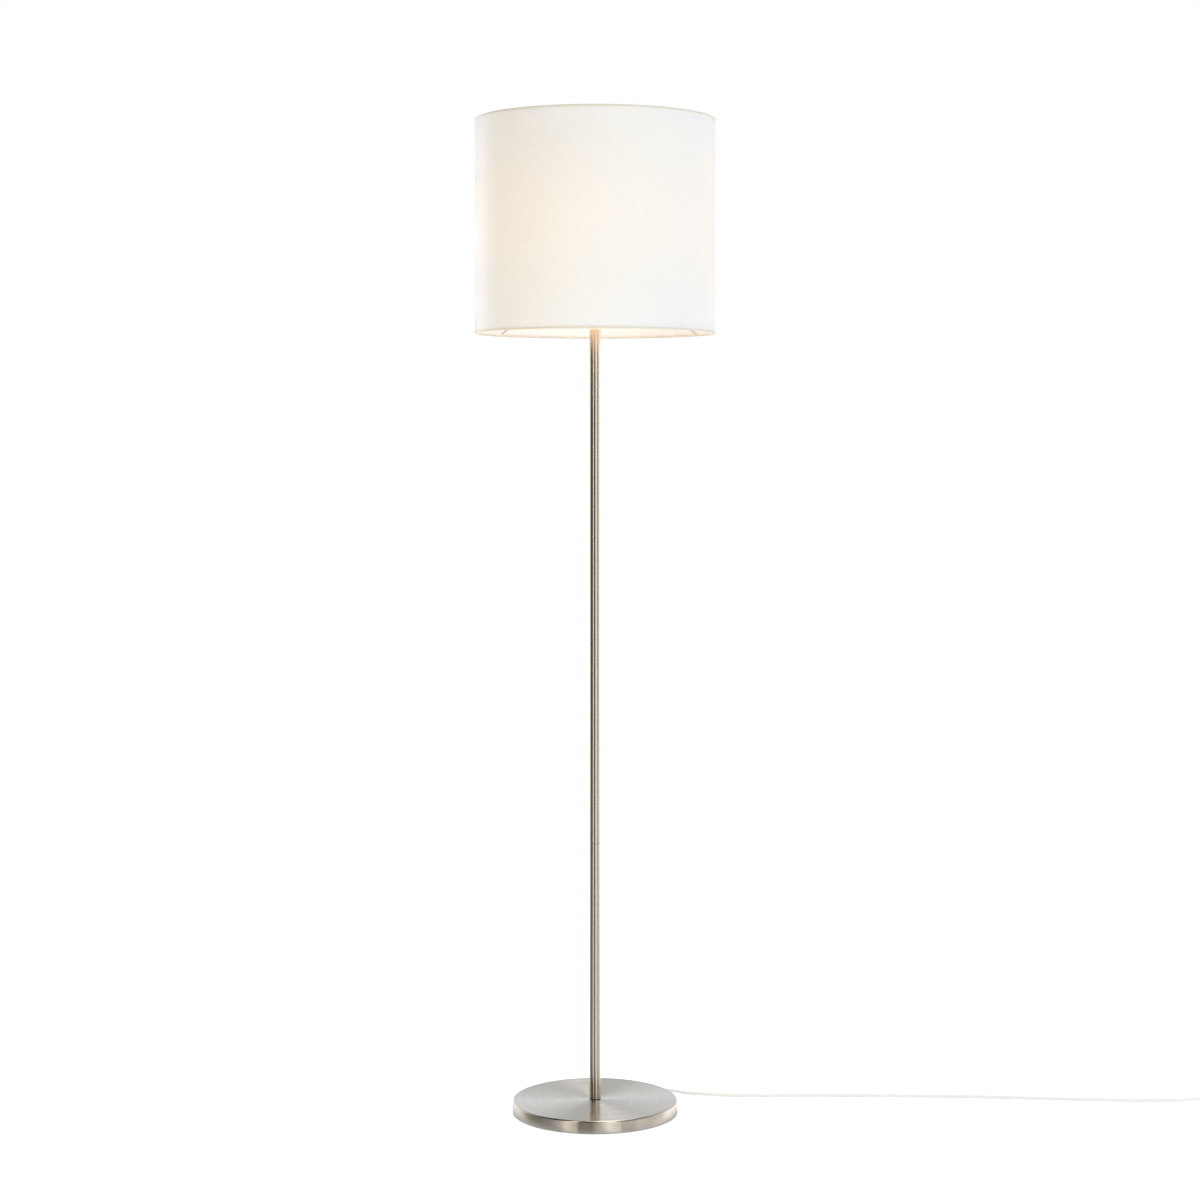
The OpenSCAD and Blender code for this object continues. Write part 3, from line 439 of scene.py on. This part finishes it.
def core_wires():
    """Two cores, brown on the right and blue on the left."""
    material, graph, shader = new_material("core_wires", rgb(0.25, 0.11, 0.05), 0.35)
    place = graph.place()
    x, _, _ = graph.split(place)
    side = graph.math("GREATER_THAN", x, 0.0)
    skin = graph.noise(place, 800.0, 2.0)
    graph.feed(shader.inputs["Base Color"], graph.mix(side, rgb(0.02, 0.07, 0.32), rgb(0.2, 0.08, 0.03)))
    graph.feed(shader.inputs["Roughness"], graph.stretch(skin, 0.28, 0.42))
    return material


WHITE_PLASTIC = rgb(0.93, 0.87, 0.8)
MATERIALS = {
    "satin_nickel": satin_nickel(),
    "cast_iron": cast_metal(),
    "plate_steel": plain_metal("plate_steel", rgb(0.6, 0.6, 0.61), 0.35),
    "floor_pad": foam(),
    "foot_gasket": moulded("foot_gasket", rgb(0.012, 0.012, 0.012), 0.6),
    "brass": plain_metal("brass", rgb(0.78, 0.57, 0.25), 0.32),
    "flex_sheath": flex_sheath(),
    "flex_fittings": moulded("flex_fittings", WHITE_PLASTIC, 0.42),
    "switch_button": moulded("switch_button", rgb(0.88, 0.82, 0.75), 0.25, coat=0.3, depth=0.000006),
    "switch_contacts": moulded("switch_contacts", rgb(0.05, 0.05, 0.055), 0.5),
    "core_wires": core_wires(),
    "holder_plastic": moulded("holder_plastic", rgb(0.88, 0.88, 0.87), 0.35, depth=0.00001),
    "holder_core": moulded("holder_core", rgb(0.87, 0.86, 0.82), 0.7, grain=500.0, depth=0.00006),
    "bulb_metal": screw_shell_metal(),
    "bulb_tip": moulded("bulb_tip", rgb(0.02, 0.02, 0.022), 0.2, depth=0.000005),
    "bulb_housing": moulded("bulb_housing", rgb(0.9, 0.9, 0.89), 0.3, depth=0.000008),
    "bulb_globe": opal_globe(),
    "shade_textile": textile("shade_textile", rgb(0.915, 0.905, 0.885), rgb(0.85, 0.835, 0.805),
                             rgb(0.96, 0.905, 0.825), 0.4),
    "shade_sheet": translucent_sheet(),
    "shade_hem": textile("shade_hem", rgb(0.88, 0.77, 0.62), rgb(0.78, 0.66, 0.5)),
    "shade_wire": wire_with_painted_shade_arms(),
    "coil_tie": moulded("coil_tie", rgb(0.88, 0.82, 0.76), 0.6, grain=2500.0, depth=0.00006),
    "pin_metal": pin_metal(),
}


def dress_cad_nodes():
    """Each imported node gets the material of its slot."""
    slot_of = {p["node"]: p["material_slot"] for p in frame["record"]["subparts"]}
    for name, node in NODES.items():
        node.data.materials.clear()
        node.data.materials.append(MATERIALS[slot_of[name]])


# ---------------------------------------------------------------- pieces

def mesh_piece(name, vertices, faces, slot, body):
    """A smooth-shaded mesh of this scene's own, riding on a body."""
    mesh = bpy.data.meshes.new(name)
    mesh.from_pydata([tuple(v) for v in vertices], [], faces)
    made = bmesh.new()
    made.from_mesh(mesh)
    bmesh.ops.recalc_face_normals(made, faces=made.faces)
    made.to_mesh(mesh)
    made.free()
    for face in mesh.polygons:
        face.use_smooth = True
    piece = bpy.data.objects.new(name, mesh)
    scene.collection.objects.link(piece)
    mesh.materials.append(MATERIALS[slot])
    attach(piece, body)
    return piece


def ring_faces(rings, sides, closed=False):
    """Faces of a tube of rings with sides points each; closed joins the last ring to the first."""
    count = rings if closed else rings - 1
    return [
        (i * sides + k, i * sides + (k + 1) % sides,
         (i + 1) % rings * sides + (k + 1) % sides, (i + 1) % rings * sides + k)
        for i in range(count) for k in range(sides)
    ]


def lathe(name, profile, steps, slot, body, matrix=Matrix.Identity(4)):
    """A closed profile of (radius, height) points, turned about Z and moved by matrix."""
    vertices = [
        matrix @ Vector((r * math.cos(a), r * math.sin(a), z))
        for a in (math.tau * i / steps for i in range(steps)) for r, z in profile
    ]
    return mesh_piece(name, vertices, ring_faces(steps, len(profile), closed=True), slot, body)


def add_bevel(piece, width):
    """Rounded edges, made by modifiers."""
    weld = piece.modifiers.new("weld", "WELD")
    weld.merge_threshold = 0.00001
    bevel = piece.modifiers.new("bevel", "BEVEL")
    bevel.width = width
    bevel.segments = 2
    bevel.limit_method = "ANGLE"
    bevel.angle_limit = math.radians(35)


def flex_curve(name, points):
    """A round flex: one open spline through the points."""
    data = bpy.data.curves.new(name, "CURVE")
    data.dimensions = "3D"
    data.resolution_u = 10
    data.bevel_depth = FLEX_D / 2
    data.bevel_resolution = 6
    data.use_fill_caps = True
    spline = data.splines.new("BEZIER")
    spline.bezier_points.add(len(points) - 1)
    for place, point in zip(points, spline.bezier_points):
        point.co = place
        point.handle_left_type = point.handle_right_type = "AUTO"
    data.materials.append(MATERIALS["flex_sheath"])
    piece = bpy.data.objects.new(name, data)
    scene.collection.objects.link(piece)
    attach(piece, "stand")
    return piece


# ---------------------------------------------------------------- flex, from the base to the plug

exit_dir = Vector((math.cos(EXIT_ANGLE), math.sin(EXIT_ANGLE), 0))
exit_point = exit_dir * (BASE_R + RELIEF_REACH) + Vector((0, 0, CABLE_H))
# The middle line of the flex from the base to the switch: x, y and height in millimetres
RUN_ROUTE = [
    (131, 112, 6.2), (143, 110.5, 4.6), (157, 107.5, 3.5), (172, 104, 3.2),
    (197, 98, 3.2), (222, 92.5, 3.2), (251, 89, 3.2), (278, 88.5, 3.2),
    (306, 89.5, 3.2), (336, 91, 3.2), (368, 92, 3.2), (401, 92, 3.2),
    (435, 91, 3.2), (469, 89.5, 3.2), (503, 88.5, 3.2), (540, 87.5, 3.2),
    (577, 86, 3.2), (618, 84, 3.2), (658, 81.5, 3.2), (698, 78, 3.2),
    (738, 74, 3.2), (780, 69.5, 3.2), (822, 65.5, 3.2), (864, 62.5, 3.2),
    (906, 60.5, 3.2), (948, 60, 3.2), (985, 60, 3.6), (1012, 60, 5),
    (1028, 60, 6.4), (1041, 60, 7), (1047, 60, 7),
]
run_points = [exit_point, exit_point + exit_dir * FLEX_D] + [Vector(p) / 1000 for p in RUN_ROUTE]


def coil_points(per_turn):
    """The coil spirals in along the floor, climbs a layer at the middle and spirals out again."""
    sweep = math.tau * COIL_TURNS
    steps = round(COIL_TURNS * per_turn)
    made = []
    for i in range(steps + 1):
        t = sweep * i / steps
        radius = COIL_INNER + COIL_PITCH * abs(t - sweep / 2) / math.tau
        climb = min(max((t - sweep / 2) / math.pi + 0.5, 0), 1)
        made.append(COIL_CENTRE + Vector((
            radius * math.sin(t), radius * math.cos(t), COIL_LOW + COIL_PITCH * climb)))
    return made


coil_outer = COIL_INNER + COIL_PITCH * COIL_TURNS / 2
link_start = SWITCH + Vector((SWITCH_PORT, 0, CABLE_H))
link_end = Vector((COIL_CENTRE.x - FLEX_D, SWITCH.y, COIL_LOW))
tail_x = COIL_CENTRE.x + coil_outer
tail_start = Vector((tail_x, COIL_CENTRE.y - FLEX_D, COIL_LOW + COIL_PITCH))
tail_end = Vector((tail_x, tail_start.y - 0.047, PLUG_H))
step = Vector((FLEX_D, 0, 0))
down = Vector((0, -FLEX_D, 0))
stored_points = (
    [link_start, link_start + step, (link_start + link_end) / 2, link_end - step, link_end]
    + coil_points(24)
    + [tail_start, tail_start + down, tail_start + Vector((0, -0.017, -0.0007)),
       Vector((tail_x, tail_start.y - 0.029, PLUG_H + 0.001)), tail_end - down, tail_end]
)

flex_run = flex_curve("flex_to_switch", run_points)
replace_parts(flex_run, "flex_run")
flex_stored = flex_curve("flex_put_away", stored_points)
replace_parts(flex_stored, "flex_link", "flex_coil", "flex_tail")
dress_cad_nodes()


def strain_relief():
    """The tapered sleeve where the flex leaves the base, with its cut rings."""
    bore = FLEX_D / 2
    flange = 0.0055
    neck = 0.0045
    inside = BASE_R - 0.0014
    outside = BASE_R + 0.0001
    tip = BASE_R + RELIEF_REACH
    profile = [(bore, BASE_R - 0.0035), (flange, BASE_R - 0.0035), (flange, inside), (neck, inside),
               (neck, outside), (flange, outside), (flange, BASE_R + 0.0012), (0.0052, BASE_R + 0.0015)]
    rings = 5
    start = BASE_R + 0.0022
    end = tip - 0.0012
    pitch = (end - start) / rings
    for i in range(rings):
        low = start + pitch * i
        r = 0.0046 - 0.0006 * i / rings
        cut = r - 0.0008
        profile += [(r, low), (r, low + pitch * 0.62),
                    (cut, low + pitch * 0.72), (cut, low + pitch * 0.92)]
    profile += [(0.0040, end), (0.0039, tip - 0.0004), (0.0036, tip), (bore, tip)]
    turn = Matrix.Rotation(EXIT_ANGLE, 4, "Z") @ Matrix.Rotation(math.pi / 2, 4, "Y")
    lift = Matrix.Translation((0, 0, CABLE_H))
    return lathe("strain_relief", profile, 48, "flex_fittings", "stand", lift @ turn)


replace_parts(strain_relief(), "cord_grommet")


def plug():
    """A flat two-pin plug: rounded front, waisted grip with cross ribs, ringed strain relief."""
    sides = 48
    face = tail_end.y - 0.049
    rings = []

    def ring(y, half_width, half_height, squareness=2.0):
        row = []
        for k in range(sides):
            a = math.tau * k / sides
            across = math.cos(a)
            up = math.sin(a)
            row.append(Vector((
                tail_x + half_width * math.copysign(abs(across) ** (2 / squareness), across), y,
                PLUG_H + half_height * math.copysign(abs(up) ** (2 / squareness), up))))
        rings.append(row)

    ring(face, 0.0158, 0.0052, 3.2)
    ring(face + 0.0004, 0.0168, 0.0062, 3.2)
    ring(face + 0.0012, 0.0174, 0.0067, 3.2)
    ring(face + 0.007, 0.0175, 0.0068, 3.2)
    ribs = 5
    low = face + 0.0085
    high = face + 0.0235
    pitch = (high - low) / ribs
    for i in range(ribs):
        share = i / ribs
        y = low + pitch * i
        half = 0.0173 - 0.0034 * math.sin(math.pi / 2 * share)
        thick = 0.0068 - 0.0007 * share
        ring(y, half - 0.0008, thick - 0.0006, 3.0)
        ring(y + pitch * 0.2, half, thick, 3.0)
        ring(y + pitch * 0.6, half - 0.0002, thick, 3.0)
        ring(y + pitch * 0.8, half - 0.0010, thick - 0.0006, 3.0)
    ring(high + 0.0005, 0.0134, 0.0059, 2.8)
    ring(face + 0.028, 0.0112, 0.0060, 2.4)
    ring(face + 0.032, 0.0082, 0.0060, 2.1)
    ring(face + 0.0345, 0.0062, 0.0056)
    cuts = 4
    start = face + 0.0352
    pitch = (tail_end.y - 0.001 - start) / cuts
    for i in range(cuts):
        r = 0.0050 - 0.0008 * i / cuts
        cut = r - 0.0008
        y = start + pitch * i
        ring(y, r, r)
        ring(y + pitch * 0.6, r, r)
        ring(y + pitch * 0.7, cut, cut)
        ring(y + pitch * 0.92, cut, cut)
    ring(tail_end.y - 0.0008, 0.0042, 0.0042)
    ring(tail_end.y, 0.0039, 0.0039)
    count = len(rings)
    vertices = [v for row in rings for v in row]
    vertices += [Vector((tail_x, face, PLUG_H)), Vector((tail_x, tail_end.y, PLUG_H))]
    faces = ring_faces(count, sides)
    faces += [(count * sides, (k + 1) % sides, k) for k in range(sides)]
    last = (count - 1) * sides
    faces += [(count * sides + 1, last + k, last + (k + 1) % sides) for k in range(sides)]
    return mesh_piece("plug_grip", vertices, faces, "flex_fittings", "stand")


plug_piece = plug()
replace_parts(plug_piece, "plug_body")


def coil_strap():
    """A thin strap with rounded corners round all the turns that lie side by side in one place."""
    # That place, in turns from the coil's start
    spot = 0.625
    far_turn = COIL_INNER + COIL_PITCH * (COIL_TURNS / 2 - spot)
    angle = math.tau * (0.25 - spot)
    thick = 0.0008
    # Between the turns and the strap's sides
    room = 0.0005
    inner = far_turn - COIL_PITCH - FLEX_D / 2 - room - thick / 2
    outer = far_turn + FLEX_D / 2 + room + thick / 2
    top = COIL_LOW + COIL_PITCH + FLEX_D / 2 + 0.0003 + thick / 2
    bottom = thick / 2
    corner = 0.0034
    path = []
    corners = [(outer, bottom, -90), (outer, top, 0), (inner, top, 90), (inner, bottom, 180)]
    for x, z, start in corners:
        centre_x = x - math.copysign(corner, x - (inner + outer) / 2)
        centre_z = z - math.copysign(corner, z - (bottom + top) / 2)
        for i in range(7):
            a = math.radians(start + 15 * i)
            path.append((centre_x + corner * math.cos(a), centre_z + corner * math.sin(a)))
    half_width = 0.004
    cross = [(-half_width, -thick / 2), (-half_width, thick / 2),
             (half_width, thick / 2), (half_width, -thick / 2)]
    vertices = []
    for i, (x, z) in enumerate(path):
        along = (Vector(path[(i + 1) % len(path)]) - Vector(path[i - 1])).normalized()
        normal = Vector((along.y, -along.x))
        for side, out in cross:
            vertices.append((x + normal.x * out, side, z + normal.y * out))
    turn = Matrix.Translation(COIL_CENTRE) @ Matrix.Rotation(angle, 4, "Z")
    vertices = [turn @ Vector(v) for v in vertices]
    piece = mesh_piece("coil_strap", vertices, ring_faces(len(path), 4, closed=True), "coil_tie", "stand")
    add_bevel(piece, 0.00015)
    return piece


strap = coil_strap()
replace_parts(strap, "coil_tie")


def helix_spring():
    """The round-wire spring under the switch's button, with half a level turn at each end."""
    low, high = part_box("button_spring")
    height = high.z - low.z
    wire = 0.00045
    turns = 3
    sides = 10
    per_turn = 32
    radius = (high.x - low.x) / 2 - wire
    steps = (turns + 1) * per_turn
    vertices = []
    for i in range(steps + 1):
        turn = i / per_turn
        rise = min(max((turn - 0.5) / turns, 0), 1)
        out = Vector((math.cos(math.tau * turn), math.sin(math.tau * turn), 0))
        centre = Vector((SWITCH.x, SWITCH.y, low.z + wire + (height - 2 * wire) * rise))
        for k in range(sides):
            a = math.tau * k / sides
            lift = Vector((0, 0, wire * math.sin(a)))
            vertices.append(centre + out * (radius + wire * math.cos(a)) + lift)
    last = steps * sides
    faces = ring_faces(steps + 1, sides) + [tuple(range(sides)), tuple(range(last, last + sides))]
    piece = mesh_piece("helix_spring", vertices, faces, "plate_steel", "stand")
    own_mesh(piece)
    return piece


spring = helix_spring()
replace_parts(spring, "button_spring")


# ---------------------------------------------------------------- shade

def drum(name, radius, wave, slot, seed):
    """One layer of the drum, with the slight unevenness of a rolled sheet."""
    sides = 288
    rows = 48
    low = SHADE_LOW + HEM_THICK
    high = SHADE_HIGH - HEM_THICK
    vertices = []
    for j in range(rows + 1):
        z = low + (high - low) * j / rows
        for i in range(sides):
            a = math.tau * i / sides
            place = Vector((math.cos(a) * 1.3, math.sin(a) * 1.3, z * 5 + seed))
            fade = math.sin(math.pi * j / rows) ** 0.5 if 0 < j < rows else 0.0
            r = radius + wave * fade * noise(place)
            vertices.append((r * math.cos(a), r * math.sin(a), z))
    return mesh_piece(name, vertices, ring_faces(rows + 1, sides), slot, "shade")


def edge_strip(name, top):
    """A textile strip folded round the shade's edge: rolled lip outside, flat web across the edge."""
    outer = SHADE_R
    inner = SHADE_R - 0.0040
    section = [
        (outer - HEM_THICK + 0.00005, HEM_H), (outer - 0.0001, HEM_H),
        (outer - 0.00002, HEM_H - 0.0004), (outer, HEM_H * 0.55), (outer, 0.0012),
        (outer - 0.00015, 0.0006), (outer - 0.0005, 0.00015), (outer - 0.0011, 0.0),
        (inner + 0.0006, 0.0), (inner + 0.0001, 0.00015), (inner, HEM_THICK - 0.0001),
        (inner + 0.0004, HEM_THICK), (outer - 0.0009, HEM_THICK),
        (outer - HEM_THICK, HEM_THICK + 0.0005),
    ]
    profile = [(r, SHADE_HIGH - z) if top else (r, SHADE_LOW + z) for r, z in section]
    return lathe(name, profile, 240, "shade_hem", "shade")


def overlap_strip():
    """The lapped edge of the textile down the back."""
    half = 0.007
    rows = 60
    columns = 8
    low = SHADE_LOW + HEM_H
    high = SHADE_HIGH - HEM_H
    inner = SHADE_R - HEM_THICK
    outer = inner + 0.0003
    vertices = []
    for j in range(rows + 1):
        z = low + (high - low) * j / rows
        sway = 0.0002 * noise(Vector((0.0, 3.0, z * 25)))
        for layer in (inner, outer):
            for i in range(columns + 1):
                angle = (-half + 2 * half * i / columns + sway) / SHADE_R
                edge = 1 if layer == inner else min(1.0, 4 * min(i, columns - i) / columns)
                r = inner + (layer - inner) * edge
                vertices.append((-r * math.sin(angle), r * math.cos(angle), z))
    side = 2 * (columns + 1)
    faces = []
    for j in range(rows):
        a, b = j * side, (j + 1) * side
        for i in range(columns):
            faces.append((a + i, a + i + 1, b + i + 1, b + i))
            k = columns + 1 + i
            faces.append((a + k, b + k, b + k + 1, a + k + 1))
        for i in (0, columns):
            k = columns + 1 + i
            faces.append((a + i, b + i, b + k, a + k))
    for a in (0, rows * side):
        for i in range(columns):
            k = columns + 1 + i
            faces.append((a + i, a + k, a + k + 1, a + i + 1))
    return mesh_piece("textile_overlap", vertices, faces, "shade_textile", "shade")


skin = drum("textile_skin", SHADE_R - HEM_THICK - 0.0002, 0.00015, "shade_textile", 0.0)
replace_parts(skin, "shade_fabric")
backing = drum("backing_sheet", SHEET_R, 0.00012, "shade_sheet", 7.0)
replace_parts(backing, "shade_liner")
top_edge = edge_strip("edge_strip_top", True)
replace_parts(top_edge, "top_hem")
bottom_edge = edge_strip("edge_strip_bottom", False)
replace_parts(bottom_edge, "bottom_hem")
overlap = overlap_strip()
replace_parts(overlap, "shade_seam")


# ---------------------------------------------------------------- studio

def azimuth_ramp(graph, turn, tint, stops, left_tint=None):
    """Light levels by direction, in degrees from the camera's side, as a colour.

    left_tint takes the place of tint from -110 to 0 degrees.
    """
    ramp = graph.node("ShaderNodeValToRGB", {0: turn})
    elements = ramp.color_ramp.elements
    while len(elements) < len(stops):
        elements.new(0.5)
    for element, (angle, level) in zip(elements, stops):
        element.position = (angle + 180) / 360
        shade = left_tint if left_tint and -110 < angle < 0 else tint
        element.color = rgb(*(level * c for c in shade))
    return ramp.outputs[0]


def make_world():
    """Shiny pieces see bright and dark strips, rough ones an even light, and the camera plain white."""
    world = bpy.data.worlds.new("studio")
    world.use_nodes = True
    world.cycles.sampling_method = "NONE"
    scene.world = world
    world.node_tree.nodes.clear()
    graph = Graph(world.node_tree)
    x, y, z = graph.split(graph.node("ShaderNodeTexCoord").outputs["Generated"])
    azimuth = graph.math("ARCTAN2", x, graph.math("MULTIPLY", y, -1.0))
    turn = graph.span(azimuth, -math.pi, math.pi)
    level = azimuth_ramp(graph, turn, (1.0, 0.985, 0.95), [
        (-180, 0.61), (-135, 0.65), (-118, 0.55), (-104, 0.28), (-92, 0.08), (-78, 0.0),
        (-50, 0.0), (-45, 0.08), (-41, 0.6), (-26, 0.6), (-22, 0.0), (-4, 0.0),
        (2, 0.25), (14, 0.35), (18, 0.7), (34, 0.7), (38, 0.12), (56, 0.12),
        (61, 0.38), (80, 0.42), (92, 0.7), (120, 0.85), (180, 0.61),
    ], left_tint=(1.0, 0.92, 0.8))
    low = azimuth_ramp(graph, turn, (1.0, 0.97, 0.93), [
        (-180, 0.62), (-135, 0.46), (-125, 0.32), (-109, 0.07), (-96, 0.1), (-84, 0.14),
        (-73, 0.2), (-63, 0.25), (-53, 0.4), (-46, 0.53), (-38, 0.4), (-30, 0.2),
        (-22, 0.16), (-14, 0.2), (-5, 0.18), (5, 0.26), (14, 0.55), (22, 0.5), (32, 0.26),
        (42, 0.38), (52, 0.41), (62, 0.4), (75, 0.34), (90, 0.23), (105, 0.24), (120, 0.55),
        (180, 0.62),
    ])
    high = azimuth_ramp(graph, turn, (0.93, 0.985, 1.07), [
        (-180, 0.34), (-178.5, 0.28), (-176, 0.3), (-173, 0.75), (-167, 0.75), (-163, 0.4),
        (-150, 0.4), (-120, 0.3), (-96, 0.3), (-82, 0.0), (-38, 0.0), (-34, 0.6), (-25, 0.6),
        (-21, 0.0), (24, 0.0), (28, 0.9), (39, 0.9), (43, 0.05), (80, 0.1), (120, 0.25),
        (150, 0.4), (162, 0.42), (172, 0.4), (177, 0.45), (180, 0.38),
    ])
    ahead = graph.background(graph.mix(graph.span(z, -0.19, -0.24), level, low), 2.2)
    raised = graph.background(high, 2.0)
    ceiling = graph.mix(graph.span(x, -0.15, 0.1), rgb(0.1, 0.1, 0.1), rgb(1, 1, 1))
    strips = graph.blend(graph.span(z, 0.1, 0.2), ahead, raised)
    strips = graph.blend(graph.span(z, 0.8, 0.88), strips, graph.background(ceiling, 2.0))
    even = graph.background(rgb(0.81, 0.93, 0.99), 0.7)
    light = graph.blend(graph.ray("Is Glossy Ray"), even, strips)
    white = graph.background(rgb(1, 1, 1), 1.0)
    output = graph.node("ShaderNodeOutputWorld")
    graph.feed(output.inputs["Surface"], graph.blend(graph.seen(), light, white))


def make_floor():
    """White ground that takes the shadows; away from the base, shiny pieces see through it."""
    reach = 14.0
    corners = [(-reach, -reach, 0), (reach, -reach, 0), (reach, reach, 0), (-reach, reach, 0)]
    mesh = bpy.data.meshes.new("floor")
    mesh.from_pydata(corners, [], [(0, 1, 2, 3)])
    floor = bpy.data.objects.new("floor", mesh)
    scene.collection.objects.link(floor)
    material, graph, shader = new_material("floor_white", rgb(0.86, 0.86, 0.86), 0.9,
                                           Specular_IOR_Level=0.0)
    glow = graph.node("ShaderNodeEmission", {"Color": rgb(1, 1, 1), "Strength": 0.68}).outputs[0]
    lit = graph.node("ShaderNodeAddShader", {0: shader.outputs[0], 1: glow}).outputs[0]
    solid = graph.blend(graph.seen(), shader.outputs[0], lit)
    far = graph.span(graph.length(graph.place()), BASE_R + 0.003, BASE_R + 0.033)
    gone = graph.math("MULTIPLY", far, graph.ray("Is Glossy Ray"))
    clear = graph.node("ShaderNodeBsdfTransparent").outputs[0]
    graph.feed(surface_of(material), graph.blend(gone, solid, clear))
    mesh.materials.append(material)


def bulb_spill():
    """The bulb's light from the shade's opening down the column, for shiny pieces only."""
    data = bpy.data.lights.new("bulb_spill", "AREA")
    data.shape = "DISK"
    data.size = 0.38
    data.energy = 0.75
    data.color = (1.0, 0.44, 0.05)
    light = bpy.data.objects.new("bulb_spill", data)
    light.location = (0, 0, 1.32)
    scene.collection.objects.link(light)
    light.visible_camera = False
    light.visible_diffuse = False
    light.visible_transmission = False


def soft_light(name, place, target, size, power, tint, spread=180):
    """A rectangle of light that faces a target and shows in no reflection."""
    data = bpy.data.lights.new(name, "AREA")
    data.shape = "RECTANGLE"
    data.size = size[0]
    data.size_y = size[1]
    data.energy = power
    data.color = tint
    data.spread = math.radians(spread)
    light = bpy.data.objects.new(name, data)
    light.location = place
    light.rotation_euler = (Vector(target) - Vector(place)).to_track_quat("-Z", "Y").to_euler()
    scene.collection.objects.link(light)
    light.visible_glossy = False
    light.visible_camera = False


make_world()
make_floor()
bulb_spill()
soft_light("key", (3.0, -2.8, 1.2), (0, 0, 1.0), (2.4, 2.4), 73, (0.68, 0.82, 1.0))
soft_light("low", (-0.7, -1.0, 0.45), (0, 0, 1.4), (0.8, 0.4), 8, (1.0, 0.85, 0.62))
soft_light("rim_right", (2.5, 2.5, 1.6), (0, 0, 1.3), (1.5, 2.5), 32, (1.0, 0.75, 0.95))
soft_light("rim_left", (-1.85, 2.36, 1.5), (0, 0, 1.45), (0.6, 2.0), 36, (0.66, 0.73, 1.0))
soft_light("edge_left", (-1.376, 1.463, 1.47), (-0.142, -0.111, 1.47), (0.09, 0.5), 0.33,
           (0.62, 0.72, 1.0), spread=14)
scene.view_settings.view_transform = "Standard"
